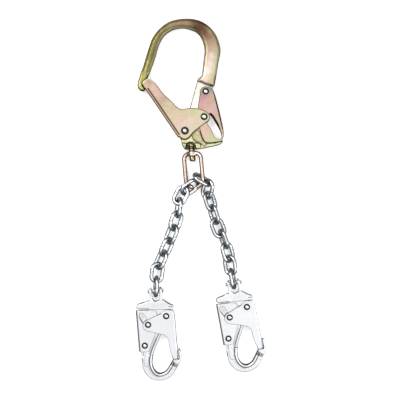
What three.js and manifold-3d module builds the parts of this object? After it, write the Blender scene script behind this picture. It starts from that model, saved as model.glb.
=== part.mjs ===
// Rebar positioning chain assembly: a large double-action scaffold hook on a swivel ring, with two
// chain legs that each end in a double-locking snap hook. It lies flat, +Z up, the big hook towards +Y.
// Every solid is in millimetres. The origin is the bottom centre of the whole assembly's box.
import * as THREE from "three";
import { mergeVertices } from "three/addons/utils/BufferGeometryUtils.js";
import Module from "manifold-3d";

const wasm = await Module();
wasm.setup();

// ---------------------------------------------------------------- driving dimensions
const GAP = 0.3; // running gap between neighbouring pieces

// Big hook, in its own frame: origin at the swivel bore's mouth, +Y towards the bend.
const HOOK_AT = [-14.67, 90.52, 10.9]; // place of that origin before the final centring
const HOOK_BAR_HALF = 8; // half thickness of the forged bar
const HOOK_BAR_BEVEL = 3.6;
const HOOK_WEB_HALF = 4; // half thickness of the web that carries the rivets
const HOOK_TONGUE_HALF = 5.8; // nose end, between the gate's plates
const HOOK_BOSS_HALF = 9; // boss around the swivel bore
const LEVER_IN = 4.4, LEVER_OUT = 6.3; // lock lever's plates, inner and outer face
const GATE_IN = 6.6, GATE_OUT = 8.6; // gate's plates
const GATE_PIVOT = [-11.7, 31.6], LOCK_PIN = [22.2, 56.3], LEVER_PIVOT = [25, 101.1];
const GATE_RIVET_R = 4.2, LOCK_PIN_R = 3.3, LEVER_RIVET_R = 3.6;
const GATE_HEAD_R = 6.3, LOCK_HEAD_R = 5.6, LEVER_HEAD_R = 5.4;

// Swivel, in a frame at the bore's mouth whose -Y runs down the stud; it leans a little.
const SWIVEL_LEAN = 5; // degrees
const BORE_R = 5.8, LIP_R = 4.8, SHANK_R = 4.4, STUD_R = 5.4;
const STUD_TOP = 8.1, GROOVE_TOP = 4.1, GROOVE_END = -0.4, STUD_SHOULDER = -4.4, EYE_TOP = -4.8, EYE_END = -12.8;
const STUD_HEAD_TOP = -13.2, STUD_END = -22.4;
const RING_WIRE = 7.6, RING_HALF_WIDTH = 16, RING_TOP = -8.65, RING_BOTTOM = -68.55, RING_CORNER = 9;
const RING_ROLL = 20; // degrees that the ring's right side stands up

// Chain link: round wire bent to a long oval.
const WIRE = 7, LINK_END_R = 10.25, LINK_HALF = 15.95;
const LINK_STEPS = 16, LINK_SIDES = 7;
// Each link's centre x, y, z, then the yaw and pitch of its long axis and its roll about it, in degrees.
const LEFT_LAY = [
  [-17.72, 22.33, 10.26, -144.3, 5.9, 143.7],
  [-33.46, 7.97, 11.40, -117.3, 4.4, 21.2],
  [-37.74, -13.41, 13.87, -98.4, -2.2, 72.4],
  [-42.45, -37.16, 13.39, -105.7, 0.0, -37.9],
  [-50.05, -60.33, 13.35, -110.9, -2.4, 44.0],
  [-58.88, -83.04, 12.52, -113.6, -0.4, -46.5],
  [-68.54, -105.42, 11.91, -112.9, -0.1, 49.6],
  [-75.67, -128.20, 13.23, -97.2, 2.8, -26.0],
  [-77.44, -152.52, 13.81, -93.1, -0.5, 80.2],
];
const RIGHT_LAY = [
  [3.66, 35.93, 14.73, -28.9, -16.8, -64.4],
  [13.59, 18.96, 12.63, -101.2, -15.7, -139.5],
  [18.24, -2.48, 11.17, -72.8, 1.5, -44.0],
  [24.89, -25.81, 13.12, -72.2, 6.6, 59.2],
  [32.15, -49.02, 13.89, -68.8, -0.8, -23.8],
  [41.85, -68.96, 13.63, -70.0, 3.1, 69.6],
  [49.07, -92.19, 13.06, -74.4, -2.8, -38.9],
  [53.38, -115.35, 12.22, -80.9, 0.4, 36.0],
  [57.52, -138.62, 13.67, -79.8, -0.1, -77.7],
];

// Snap hook, in its own frame: origin at the clevis pin, -Y down the hook.
const SNAP_AT = [
  { name: "left", at: [-78.32, -160.89, 12.6], turn: 4.6, dip: 2.3 },
  { name: "right", at: [59.58, -146.92, 12.6], turn: 10.4, dip: 2.3 },
];
const SNAP_BAR_HALF = 6, SNAP_BAR_BEVEL = 2.8, SNAP_WEB_HALF = 3.5, SNAP_TONGUE_HALF = 5.2, SNAP_HAT_HALF = 8;
const S_LEVER_IN = 3.9, S_LEVER_OUT = 5.4, S_GATE_IN = 5.8, S_GATE_OUT = 7.3;
const S_GATE_PIVOT = [15.3, -44.8], S_LOCK_PIN = [-17.8, -57.6], S_LEVER_PIVOT = [-26.6, -94.4];
const S_GATE_RIVET_R = 3, S_LOCK_PIN_R = 2.7, S_LEVER_RIVET_R = 2.6, S_HEAD_R = 5.3;
const EYE_R = 6.9, EAR_IN = 6.7, EAR_OUT = 11.3, CLEVIS_PIN_R = 3.25, CLEVIS_PIN_HALF = 15.2;

// Shift that puts the origin at the bottom centre of the whole assembly.
const CENTRING = [-1.749, -0.249, -0.1];

// ---------------------------------------------------------------- outlines, in millimetres
const BAR_OUTER = [
  [-90.8, 130.3], [-85.4, 146.6], [-80.5, 162.8], [-75.5, 179], [-70.4, 192.8], [-62.6, 205.6],
  [-51.6, 216.6], [-38.6, 224.9], [-25.7, 228.6], [-11.1, 230.1], [3.3, 229.2], [15.9, 225.6],
  [27.7, 218.7], [36.7, 210.2], [43.9, 199.4], [48.4, 187.7], [51.1, 175.9], [50.6, 167.8],
  [48, 155.2], [45.7, 140.8], [43.9, 129.9], [42.1, 119.1], [40.3, 111],
];
const BAR_INNER = [
  [-75.3, 129.6], [-74.2, 133.1], [-68.8, 147.6], [-63.3, 163.9], [-59.2, 178.3],
  [-54.4, 189.9], [-48.2, 199.6], [-39.5, 206.4], [-30.8, 210.6], [-20.1, 212.7],
  [-11.1, 212.6], [-2.1, 210.2], [6.9, 206.6], [14.1, 200.3], [19, 191.2], [21.9, 182.2],
  [22.8, 171.4], [21.4, 158.8], [19.7, 144.4], [17.6, 129.9], [12.7, 123.6], [10.2, 118.8],
  [17.7, 116.1], [26.7, 112.3], [35.6, 110.2],
];
const TONGUE = [
  [-84.4, 101.8], [-91, 102.7], [-95, 108.3], [-94.8, 116.4], [-90.9, 129.9], [-88.9, 137.2],
  [-74.1, 137.2], [-76.3, 129.9], [-77.9, 126.3], [-81.5, 119.1], [-83.3, 112.8],
  [-82.2, 105.6],
];
const WEB = [
  [20.4, 128.1], [11.4, 122.7], [7.8, 111.9], [3.3, 95.7], [-0.3, 82.1], [-3, 72.2],
  [-8.4, 57.8], [-16.2, 45.1], [-22.3, 38.3], [-25, 34], [-25.4, 28.9], [-23.4, 23.9],
  [-20.1, 19.5], [-18.3, 14.5], [-16.2, 6.4], [-12.2, -0.3], [-0.3, -1], [13.2, 0], [25, 1.8],
  [51.1, 8.3], [55.1, 12.3], [53.8, 14.8], [35.8, 14.7], [27.1, 13.9], [24.6, 17.7],
  [23.5, 24.4], [24.1, 31.6], [22.2, 42.4], [18.1, 52], [15.9, 57.8], [17.4, 62.8], [22.4, 65],
  [27.1, 69.5], [30.7, 77.6], [33.6, 88.4], [35.6, 99.3], [37.2, 106.1], [39.4, 111.9],
  [40.3, 120.9], [41.2, 128.1],
];
const GATE_PLATE = [
  [-86.5, 112.8], [-86, 116.9], [-83.3, 119.8], [-79.3, 122.4], [-72.5, 123.6], [-68.9, 120.6],
  [-61.6, 112.8], [-54.4, 102.9], [-49, 95.7], [-42.7, 90.2], [-34.6, 82.7], [-25.6, 73.1],
  [-20.1, 70], [-14.7, 69.5], [-9.3, 70.8], [-2.1, 71.3], [6.9, 70.9], [15.9, 69.5],
  [23.1, 66.8], [28.9, 62.8], [31.8, 58.7], [32.2, 53.8], [29.5, 48.8], [23.1, 44.2],
  [12.3, 36.1], [3.3, 28.9], [-0.8, 23.9], [-5.4, 19], [-11.1, 16.6], [-16.2, 17.5],
  [-20.1, 19.9], [-24.5, 20.6], [-80, 102.5], [-83.3, 107.4],
];
const GATE_SPINE = [
  [-80, 102.5], [-78.4, 103.6], [-22.9, 21.7], [-24.5, 20.6],
];
const LEVER_PLATE = [
  [14.7, 95.7], [15, 101.1], [16.3, 105], [19.5, 108.3], [24.6, 109.6], [30.4, 108.3],
  [36.7, 105], [40.3, 98.4], [56.5, 30.7], [56.3, 20.8], [52.4, 13], [41.2, 11.2],
  [26.8, 10.7], [22.8, 13], [19.5, 19], [16.8, 27.1], [14.1, 36.1], [12, 50.6], [11.4, 70.4],
  [13.2, 86.6],
];
const LEVER_SPINE = [
  [38.3, 97.8], [40.3, 98.4], [56.5, 30.7], [54.5, 30.2],
];
const LEVER_SLOT = [
  [17.7, 58.7], [19.9, 61], [23.1, 61.7], [27.1, 61.4], [33.1, 59.6], [43, 45.1], [51.1, 29.8],
  [53.1, 20.8], [49.9, 17.4], [43.9, 17.4], [40.3, 21.2], [36.7, 29.3], [32.2, 37.6],
  [26.8, 45.7], [20.4, 50.9], [17.6, 54.5],
];
const BOSS = [
  [-17.3, 9.8], [-16.2, 6.2], [-12.2, -0.7], [-0.3, -1.4], [13.2, -0.3], [15.9, 3.7],
  [15.4, 9.8],
];
const WINDOW = [
  [-10.9, -5.4], [-10.9, 3.7], [-9.3, 8], [-6.1, 10.9], [-1.7, 11.8], [2.6, 10.9], [6.2, 8],
  [7.8, 3.7], [8.2, -5.4],
];

const S_OUTER = [
  [-33.7, -114.7], [-34, -121.7], [-34.1, -132], [-31.8, -140.3], [-27.9, -147.2],
  [-23.9, -152.2], [-16.9, -156.5], [-6.8, -159.2], [3.5, -158.3], [12.6, -154.9],
  [20.5, -148.2], [27, -137.8],
];
const S_INNER = [
  [-13.3, -111.6], [-15.3, -118.8], [-16.3, -127.5], [-14.9, -135], [-11.3, -141.9],
  [-7.2, -145.2], [-2.8, -146.3], [3.1, -145], [7.8, -142], [12.7, -135.8], [17.3, -129.4],
];
const S_WEB = [
  [-13.8, -26.3], [-15.1, -46.7], [-12.6, -55], [-12.5, -61.7], [-17.5, -63], [-26.4, -64.4],
  [-29.2, -67.7], [-32.1, -82.2], [-33.6, -93.8], [-34, -105.5], [-34.6, -124.6],
  [-16.5, -126.1], [-14.9, -117.4], [-12.3, -108.7], [-7.9, -99.5], [-0.9, -86.1],
  [4.3, -75.5], [8.2, -63.3], [13.1, -54.6], [18.5, -54.3], [22.7, -51.6], [25.1, -47],
  [25.9, -41.2], [27.1, -29.6],
];
const S_HAT = [
  [-6.2, -14.4], [-9.3, -16.3], [-12.9, -15.6], [-20.4, -17.6], [-33.2, -21], [-36.2, -23.9],
  [-35.9, -27], [-33.8, -28.6], [-20, -29.9], [-2.4, -31.6], [16.6, -33.1], [28.3, -33.8],
  [30.7, -31.3], [28.8, -27.5], [23.2, -24.1], [17.6, -20], [13.5, -16.4], [9.1, -16],
];
const S_GATE = [
  [-12.5, -46.7], [-3.4, -43], [7.2, -39.7], [16.4, -34.6], [27.5, -35.8], [29.1, -38.5],
  [30.1, -105.5], [30.3, -121.7], [25.2, -122.9], [20.9, -121.7], [20.1, -117.2],
  [17.6, -108.2], [16.6, -100.8], [16.1, -93.4], [15.2, -86], [12, -80.6], [7.1, -77.5],
  [0.6, -75.7], [-5.8, -73.4], [-14.4, -70.6], [-21.6, -68.3], [-25.7, -64.4], [-27.4, -59.7],
  [-26.4, -55.4], [-23.1, -51.3], [-18.6, -49.1],
];
const S_GATESPINE = [
  [27.7, -41.4], [29.3, -41.5], [30.5, -104.5], [28.9, -104.7],
];
const S_LEVER = [
  [-37.5, -31.7], [-21.6, -32.4], [-7, -33.6], [-1.6, -35.5], [-0.7, -39.1], [-3.5, -62.4],
  [-5.9, -74], [-12.1, -87.4], [-20.1, -105.2], [-24.3, -106], [-37.4, -104.7],
];
const S_LEVERSPINE = [
  [-37.5, -31.7], [-35.9, -31.8], [-35.8, -103.9], [-37.5, -103.8],
];
const S_SLOT = [
  [-31.4, -36.6], [-25.5, -36.5], [-22.4, -41.5], [-20.2, -48.1], [-16.7, -52.8],
  [-13.5, -55.7], [-13.6, -60.8], [-17.4, -62.2], [-21.7, -60.9], [-25.7, -56.2],
  [-28.7, -50.8], [-31.5, -45.4], [-32.3, -40.2],
];
const S_NOSE = [
  [30.7, -124], [31.8, -121.1], [31.2, -107.5], [31.7, -105.7], [33.7, -105.4], [35.5, -108.2],
  [36.2, -115.6], [35.6, -122.2], [33.6, -127.9], [29, -134.9], [22.5, -142.4], [14.8, -137.4],
  [17.7, -128.8], [21, -123.9],
];
const S_TONGUE = [
  [21.6, -125.4], [23.4, -116], [29.2, -113.6], [29.7, -126.1],
];

// ---------------------------------------------------------------- helpers
const IDENTITY = new THREE.Matrix4();

function solid(geometry, matrix = IDENTITY) {
  const g = geometry.clone();
  for (const name of Object.keys(g.attributes)) if (name !== "position") g.deleteAttribute(name);
  g.applyMatrix4(matrix);
  const merged = mergeVertices(g, 1e-4);
  return new wasm.Manifold(
    new wasm.Mesh({ numProp: 3, vertProperties: merged.attributes.position.array, triVerts: new Uint32Array(merged.index.array) }),
  );
}

function geometryOf(manifold) {
  const mesh = manifold.getMesh();
  const g = new THREE.BufferGeometry();
  g.setAttribute("position", new THREE.BufferAttribute(new Float32Array(mesh.vertProperties), 3));
  g.setIndex(new THREE.BufferAttribute(new Uint32Array(mesh.triVerts), 1));
  g.computeVertexNormals();
  return g;
}

const shapeOf = (points) => new THREE.Shape(points.map(([x, y]) => new THREE.Vector2(x, y)));

// A flat piece between two heights.
function slab(points, z0, z1) {
  return solid(new THREE.ExtrudeGeometry(shapeOf(points), { depth: z1 - z0, bevelEnabled: false }), new THREE.Matrix4().makeTranslation(0, 0, z0));
}

// A flat piece centred on z = 0 with chamfered edges.
function forged(points, half, bevel) {
  const g = new THREE.ExtrudeGeometry(shapeOf(points), {
    depth: 2 * (half - bevel), bevelEnabled: true, bevelThickness: bevel, bevelSize: bevel, bevelOffset: -bevel, bevelSegments: 1,
  });
  return solid(g, new THREE.Matrix4().makeTranslation(0, 0, -(half - bevel)));
}

// An upright cylinder (axis z), or one along y or x.
function rod(r, a, b, at = [0, 0], axis = "z", sides = 14) {
  const g = new THREE.CylinderGeometry(r, r, b - a, sides);
  const m = new THREE.Matrix4();
  if (axis === "z") m.makeTranslation(at[0], at[1], (a + b) / 2).multiply(new THREE.Matrix4().makeRotationX(Math.PI / 2));
  if (axis === "y") m.makeTranslation(at[0], (a + b) / 2, at[1]);
  if (axis === "x") m.makeTranslation((a + b) / 2, at[0], at[1]).multiply(new THREE.Matrix4().makeRotationZ(Math.PI / 2));
  return solid(g, m);
}

// A turned piece: [radius, height] pairs from axis to axis, about +Y, then laid along z or x if asked.
function turned(profile, axis = "y", at = [0, 0, 0], sides = 12) {
  const g = new THREE.LatheGeometry(profile.map(([r, h]) => new THREE.Vector2(r, h)), sides);
  const m = new THREE.Matrix4().makeTranslation(...at);
  if (axis === "z") m.multiply(new THREE.Matrix4().makeRotationX(Math.PI / 2));
  if (axis === "x") m.multiply(new THREE.Matrix4().makeRotationZ(-Math.PI / 2));
  let made = solid(g, m);
  if (made.volume() < 0) {
    const flipped = new THREE.LatheGeometry(profile.slice().reverse().map(([r, h]) => new THREE.Vector2(r, h)), sides);
    made = solid(flipped, m);
  }
  return made;
}

// A rivet along z with a domed head at each end.
const rivet = (shank, inner, headR, headH, at) =>
  turned([[0, -(inner + headH)], [headR * 0.6, -(inner + headH)], [headR, -(inner + headH * 0.3)], [headR, -inner], [shank, -inner],
    [shank, inner], [headR, inner], [headR, inner + headH * 0.3], [headR * 0.6, inner + headH], [0, inner + headH]], "z", [at[0], at[1], 0]);

// Two mirrored plates, joined by a folded spine along one edge.
function channel(plate, spine, inner, outer, cuts) {
  let made = slab(plate, inner, outer).add(slab(plate, -outer, -inner)).add(slab(spine, -outer, outer));
  for (const cut of cuts) made = made.subtract(cut);
  return made;
}

// A torsion spring's coil about z, with a straight tail at each end.
function coil(at, radius, wire, z0, pitch, turns, tail, startAngle) {
  const points = [];
  const steps = Math.round(turns * 10);
  for (let i = 0; i <= steps; i++) {
    const a = startAngle + (i / steps) * turns * 2 * Math.PI;
    points.push(new THREE.Vector3(at[0] + radius * Math.cos(a), at[1] + radius * Math.sin(a), z0 + pitch * turns * (i / steps)));
  }
  const a0 = startAngle, a1 = startAngle + turns * 2 * Math.PI;
  const first = points[0].clone().add(new THREE.Vector3(Math.sin(a0), -Math.cos(a0), 0).multiplyScalar(tail));
  const last = points[points.length - 1].clone().add(new THREE.Vector3(-Math.sin(a1), Math.cos(a1), 0).multiplyScalar(tail));
  const path = new THREE.CatmullRomCurve3([first, ...points, last], false, "centripetal");
  const section = new THREE.Shape();
  for (let i = 0; i < 5; i++) {
    const a = (i / 5) * 2 * Math.PI;
    section[i ? "lineTo" : "moveTo"]((wire / 2) * Math.cos(a), (wire / 2) * Math.sin(a));
  }
  return solid(new THREE.ExtrudeGeometry(section, { steps: steps + 4, extrudePath: path, bevelEnabled: false }));
}

// The closed oval of a chain link, in the xy plane with its long axis on x.
class Oval extends THREE.Curve {
  constructor(half, r) {
    super();
    this.half = half;
    this.r = r;
  }
  getPoint(t, target = new THREE.Vector3()) {
    const s = this.half - this.r, arc = Math.PI * this.r, total = 4 * s + 2 * arc;
    let d = (((t % 1) + 1) % 1) * total;
    if (d < s) return target.set(d, this.r, 0);
    d -= s;
    if (d < arc) return target.set(s + this.r * Math.sin(d / this.r), this.r * Math.cos(d / this.r), 0);
    d -= arc;
    if (d < 2 * s) return target.set(s - d, -this.r, 0);
    d -= 2 * s;
    if (d < arc) return target.set(-s - this.r * Math.sin(d / this.r), -this.r * Math.cos(d / this.r), 0);
    d -= arc;
    return target.set(-s + d, this.r, 0);
  }
}

// A closed loop through points: a tube that ends where it starts has no open end.
function loop(curve, steps, radius, sides) {
  return solid(new THREE.TubeGeometry(curve, steps, radius, sides, true));
}

const assembly = new THREE.Group();
const centred = new THREE.Group();
centred.position.set(...CENTRING);
assembly.add(centred);

const FINISH = {
  gold: { color: 0xb9a561, roughness: 0.34, metalness: 0.9 },
  gate: { color: 0xc9ad88, roughness: 0.36, metalness: 0.88 },
  rose: { color: 0xc98f8c, roughness: 0.34, metalness: 0.88 },
  ring: { color: 0xc7935f, roughness: 0.32, metalness: 0.92 },
  stud: { color: 0xb8a850, roughness: 0.34, metalness: 0.9 },
  rivet: { color: 0xd9dbdc, roughness: 0.28, metalness: 0.95 },
  zinc: { color: 0xcdd6dc, roughness: 0.32, metalness: 0.95 },
  spring: { color: 0x8f9498, roughness: 0.35, metalness: 0.95 },
};

function put(parent, name, manifold, finish) {
  const geometry = manifold.isBufferGeometry ? manifold : geometryOf(manifold);
  const mesh = new THREE.Mesh(geometry, new THREE.MeshStandardMaterial(FINISH[finish]));
  mesh.name = name;
  parent.add(mesh);
  return mesh;
}

// ---------------------------------------------------------------- big hook
const hook = new THREE.Group();
hook.position.set(...HOOK_AT);
centred.add(hook);

const lean = new THREE.Matrix4().makeRotationZ(THREE.MathUtils.degToRad(SWIVEL_LEAN));
const leant = (m) => m.transform(lean.elements);

const both = (points, inner, outer) => slab(points, inner, outer).add(slab(points, -outer, -inner));

let body = forged([...BAR_OUTER, ...BAR_INNER.slice().reverse()], HOOK_BAR_HALF, HOOK_BAR_BEVEL)
  .add(slab(TONGUE, -HOOK_TONGUE_HALF, HOOK_TONGUE_HALF))
  .add(slab(WEB, -HOOK_WEB_HALF, HOOK_WEB_HALF))
  .add(forged(BOSS, HOOK_BOSS_HALF, 1.2));
body = body
  .subtract(leant(rod(LIP_R, -6, STUD_TOP, [0, 0], "y")))
  .subtract(leant(rod(BORE_R, GROOVE_TOP - 0.4, STUD_TOP + 0.6, [0, 0], "y")))
  .subtract(leant(rod(BORE_R, -6, GROOVE_END + 0.4, [0, 0], "y")))
  .subtract(both(WINDOW, 3.5, 12))
  .subtract(rod(GATE_RIVET_R + GAP, -10, 10, GATE_PIVOT))
  .subtract(rod(LEVER_RIVET_R + GAP, -10, 10, LEVER_PIVOT))
  .subtract(rod(7.6, 0.8, 10, LEVER_PIVOT));
put(hook, "big_hook_body", body, "gold");

put(hook, "big_gate", channel(GATE_PLATE, GATE_SPINE, GATE_IN, GATE_OUT, [
  rod(GATE_RIVET_R + GAP, -12, 12, GATE_PIVOT), rod(LOCK_PIN_R + GAP, -12, 12, LOCK_PIN)]), "gate");
put(hook, "big_lock_lever", channel(LEVER_PLATE, LEVER_SPINE, LEVER_IN, LEVER_OUT, [
  rod(LEVER_RIVET_R + GAP, -12, 12, LEVER_PIVOT), slab(LEVER_SLOT, -12, 12)]), "rose");
put(hook, "big_gate_rivet", rivet(GATE_RIVET_R, GATE_OUT + GAP, GATE_HEAD_R, 1.9, GATE_PIVOT), "rivet");
put(hook, "big_lock_pin", rivet(LOCK_PIN_R, GATE_OUT + GAP, LOCK_HEAD_R, 1.7, LOCK_PIN), "rivet");
put(hook, "big_lever_rivet", rivet(LEVER_RIVET_R, LEVER_OUT + GAP, LEVER_HEAD_R, 1.6, LEVER_PIVOT), "rivet");
put(hook, "big_gate_spring", coil(GATE_PIVOT, 6.2, 0.9, 4.85, 0.98, 1.25, 5, 0.4), "spring");
put(hook, "big_lever_spring", coil(LEVER_PIVOT, 5.8, 1.1, 1.6, 1.25, 1.4, 0.6, -1.2), "spring");

// ---------------------------------------------------------------- swivel stud and ring
const swivel = new THREE.Group();
swivel.rotation.z = THREE.MathUtils.degToRad(SWIVEL_LEAN);
hook.add(swivel);

put(swivel, "swivel_stud", turned([[0, STUD_END], [3.6, STUD_END], [STUD_R, STUD_END + 2.2], [STUD_R, STUD_HEAD_TOP], [SHANK_R, STUD_HEAD_TOP],
  [SHANK_R, STUD_SHOULDER], [STUD_R, STUD_SHOULDER], [STUD_R, GROOVE_END], [SHANK_R, GROOVE_END], [SHANK_R, GROOVE_TOP], [STUD_R, GROOVE_TOP],
  [STUD_R, STUD_TOP - 1], [STUD_R - 1, STUD_TOP], [0, STUD_TOP]]), "stud");

const ringPoints = [];
{
  const w = RING_HALF_WIDTH, c = RING_CORNER;
  for (let i = 0; i <= 16; i++) {
    const a = Math.PI + (i / 16) * Math.PI;
    ringPoints.push([w * Math.cos(a), RING_BOTTOM + w + w * Math.sin(a)]);
  }
  for (let i = 1; i <= 4; i++) ringPoints.push([w, RING_BOTTOM + w + (i / 5) * (RING_TOP - c - RING_BOTTOM - w)]);
  for (let i = 0; i <= 6; i++) {
    const a = (i / 6) * (Math.PI / 2);
    ringPoints.push([w - c + c * Math.cos(a), RING_TOP - c + c * Math.sin(a)]);
  }
  ringPoints.push([0, RING_TOP]);
  for (let i = 0; i <= 6; i++) {
    const a = Math.PI / 2 + (i / 6) * (Math.PI / 2);
    ringPoints.push([-w + c + c * Math.cos(a), RING_TOP - c + c * Math.sin(a)]);
  }
  for (let i = 4; i >= 1; i--) ringPoints.push([-w, RING_BOTTOM + w + (i / 5) * (RING_TOP - c - RING_BOTTOM - w)]);
}
const ringCurve = new THREE.CatmullRomCurve3(ringPoints.map(([x, y]) => new THREE.Vector3(x, y, 0)), true, "centripetal");
const ring = loop(ringCurve, 28, RING_WIRE / 2, 8)
  .add(rod(7.6, EYE_END, EYE_TOP, [0, 0], "y", 14))
  .subtract(rod(LIP_R, EYE_END - 2, EYE_TOP + 2, [0, 0], "y", 18));
const ringMesh = put(swivel, "swivel_ring", ring, "ring");
ringMesh.rotation.y = -THREE.MathUtils.degToRad(RING_ROLL);

// ---------------------------------------------------------------- chain legs
const linkGeometry = geometryOf(loop(new Oval(LINK_HALF, LINK_END_R), LINK_STEPS, WIRE / 2, LINK_SIDES));
function lay(side, rows) {
  rows.forEach(([x, y, z, yaw, pitch, roll], i) => {
    const mesh = put(centred, `${side}_link_${i + 1}`, linkGeometry, "zinc");
    const [a, b, c] = [yaw, pitch, roll].map(THREE.MathUtils.degToRad);
    const u = new THREE.Vector3(Math.cos(a) * Math.cos(b), Math.sin(a) * Math.cos(b), Math.sin(b));
    const h = new THREE.Vector3(0, 0, 1).cross(u).normalize();
    const v = new THREE.Vector3().crossVectors(u, h);
    const w = h.clone().multiplyScalar(Math.cos(c)).addScaledVector(v, Math.sin(c));
    const n = new THREE.Vector3().crossVectors(u, w);
    const m = new THREE.Matrix4().makeBasis(u, w, n).setPosition(x, y, z);
    m.decompose(mesh.position, mesh.quaternion, mesh.scale);
  });
}
lay("left", LEFT_LAY);
lay("right", RIGHT_LAY);

// ---------------------------------------------------------------- snap hooks
let snapBody = forged([...S_OUTER, ...S_INNER.slice().reverse()], SNAP_BAR_HALF, SNAP_BAR_BEVEL)
  .add(slab(S_NOSE, -SNAP_TONGUE_HALF, SNAP_TONGUE_HALF))
  .add(slab(S_TONGUE, -SNAP_TONGUE_HALF, SNAP_TONGUE_HALF))
  .add(slab(S_WEB, -SNAP_WEB_HALF, SNAP_WEB_HALF))
  .add(forged(S_HAT, SNAP_HAT_HALF, 2))
  .add(slab([[-EAR_OUT, -17.5], [EAR_OUT, -17.5], [EAR_OUT, -3], [-EAR_OUT, -3]], -EYE_R + 0.4, EYE_R - 0.4))
  .add(rod(EYE_R, -EAR_OUT, EAR_OUT, [0, 0], "x"));
snapBody = snapBody
  .subtract(slab([[-EAR_IN, -11], [EAR_IN, -11], [EAR_IN, 10], [-EAR_IN, 10]], -12, 12))
  .subtract(rod(EAR_IN, -12, 12, [0, -11], "z"))
  .subtract(rod(CLEVIS_PIN_R + GAP, -20, 20, [0, 0], "x"))
  .subtract(rod(S_GATE_RIVET_R + GAP, -10, 10, S_GATE_PIVOT))
  .subtract(rod(S_LEVER_RIVET_R + GAP, -10, 10, S_LEVER_PIVOT))
  .subtract(rod(5.2, 0.4, 10, S_LEVER_PIVOT));
const snapPieces = [
  ["snap_body", snapBody, "zinc"],
  ["snap_gate", channel(S_GATE, S_GATESPINE, S_GATE_IN, S_GATE_OUT, [
    rod(S_GATE_RIVET_R + GAP, -12, 12, S_GATE_PIVOT), rod(S_LOCK_PIN_R + GAP, -12, 12, S_LOCK_PIN)]), "zinc"],
  ["snap_lock_lever", channel(S_LEVER, S_LEVERSPINE, S_LEVER_IN, S_LEVER_OUT, [
    rod(S_LEVER_RIVET_R + GAP, -12, 12, S_LEVER_PIVOT), slab(S_SLOT, -12, 12)]), "zinc"],
  ["snap_gate_rivet", rivet(S_GATE_RIVET_R, S_GATE_OUT + GAP, S_HEAD_R, 1.5, S_GATE_PIVOT), "rivet"],
  ["snap_lock_pin", rivet(S_LOCK_PIN_R, S_GATE_OUT + GAP, S_HEAD_R, 1.4, S_LOCK_PIN), "rivet"],
  ["snap_lever_rivet", rivet(S_LEVER_RIVET_R, S_LEVER_OUT + GAP, S_HEAD_R, 1.5, S_LEVER_PIVOT), "rivet"],
  ["snap_gate_spring", coil(S_GATE_PIVOT, 4.7, 0.8, 4.25, 0.88, 1.25, 4, 2.4), "spring"],
  ["snap_lever_spring", coil(S_LEVER_PIVOT, 4.05, 0.8, 1.0, 0.95, 1.4, 0.5, 0.4), "spring"],
  ["snap_clevis_pin", turned([[0, -CLEVIS_PIN_HALF], [2.2, -CLEVIS_PIN_HALF], [CLEVIS_PIN_R, -CLEVIS_PIN_HALF + 1.2],
    [CLEVIS_PIN_R, CLEVIS_PIN_HALF - 1.2], [2.2, CLEVIS_PIN_HALF], [0, CLEVIS_PIN_HALF]], "x"), "zinc"],
].map(([name, made, finish]) => [name, geometryOf(made), finish]);
for (const { name, at, turn, dip } of SNAP_AT) {
  const snap = new THREE.Group();
  snap.position.set(...at);
  snap.rotation.set(0, 0, THREE.MathUtils.degToRad(turn));
  const tip = new THREE.Group();
  tip.rotation.x = THREE.MathUtils.degToRad(dip);
  snap.add(tip);
  centred.add(snap);
  for (const [piece, geometry, finish] of snapPieces) put(tip, `${name}_${piece}`, geometry, finish);
}

export default assembly;
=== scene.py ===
import bpy
import math
import numpy as np
from mathutils import Vector, Matrix


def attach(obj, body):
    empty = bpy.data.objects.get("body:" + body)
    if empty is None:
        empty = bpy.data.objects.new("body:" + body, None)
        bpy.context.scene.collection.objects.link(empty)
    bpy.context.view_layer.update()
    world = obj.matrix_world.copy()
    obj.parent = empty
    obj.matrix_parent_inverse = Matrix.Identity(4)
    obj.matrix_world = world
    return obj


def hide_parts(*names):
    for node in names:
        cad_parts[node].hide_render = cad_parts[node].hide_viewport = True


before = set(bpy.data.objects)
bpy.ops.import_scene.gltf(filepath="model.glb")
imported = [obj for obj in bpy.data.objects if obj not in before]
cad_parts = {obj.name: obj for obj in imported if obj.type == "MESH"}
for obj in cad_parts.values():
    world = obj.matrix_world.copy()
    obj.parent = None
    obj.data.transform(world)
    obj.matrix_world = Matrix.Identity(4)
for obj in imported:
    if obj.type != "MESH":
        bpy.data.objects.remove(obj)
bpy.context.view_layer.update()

# ------------------------------------------------------------------ outlines and places, in millimetres
BAR_OUTER = [ [-90.8, 130.3], [-85.4, 146.6], [-80.5, 162.8], [-75.5, 179], [-70.4, 192.8], [-62.6, 205.6], [-51.6, 216.6], [-38.6, 224.9], [-25.7, 228.6], [-11.1, 230.1], [3.3, 229.2], [15.9, 225.6], [27.7, 218.7], [36.7, 210.2], [43.9, 199.4], [48.4, 187.7], [51.1, 175.9], [50.6, 167.8], [48, 155.2], [45.7, 140.8], [43.9, 129.9], [42.1, 119.1], [40.3, 111], ]
BAR_INNER = [ [-75.3, 129.6], [-74.2, 133.1], [-68.8, 147.6], [-63.3, 163.9], [-59.2, 178.3], [-54.4, 189.9], [-48.2, 199.6], [-39.5, 206.4], [-30.8, 210.6], [-20.1, 212.7], [-11.1, 212.6], [-2.1, 210.2], [6.9, 206.6], [14.1, 200.3], [19, 191.2], [21.9, 182.2], [22.8, 171.4], [21.4, 158.8], [19.7, 144.4], [17.6, 129.9], [12.7, 123.6], [10.2, 118.8], [17.7, 116.1], [26.7, 112.3], [35.6, 110.2], ]
TONGUE = [ [-84.4, 101.8], [-91, 102.7], [-95, 108.3], [-94.8, 116.4], [-90.9, 129.9], [-88.9, 137.2], [-74.1, 137.2], [-76.3, 129.9], [-77.9, 126.3], [-81.5, 119.1], [-83.3, 112.8], [-82.2, 105.6], ]
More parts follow.
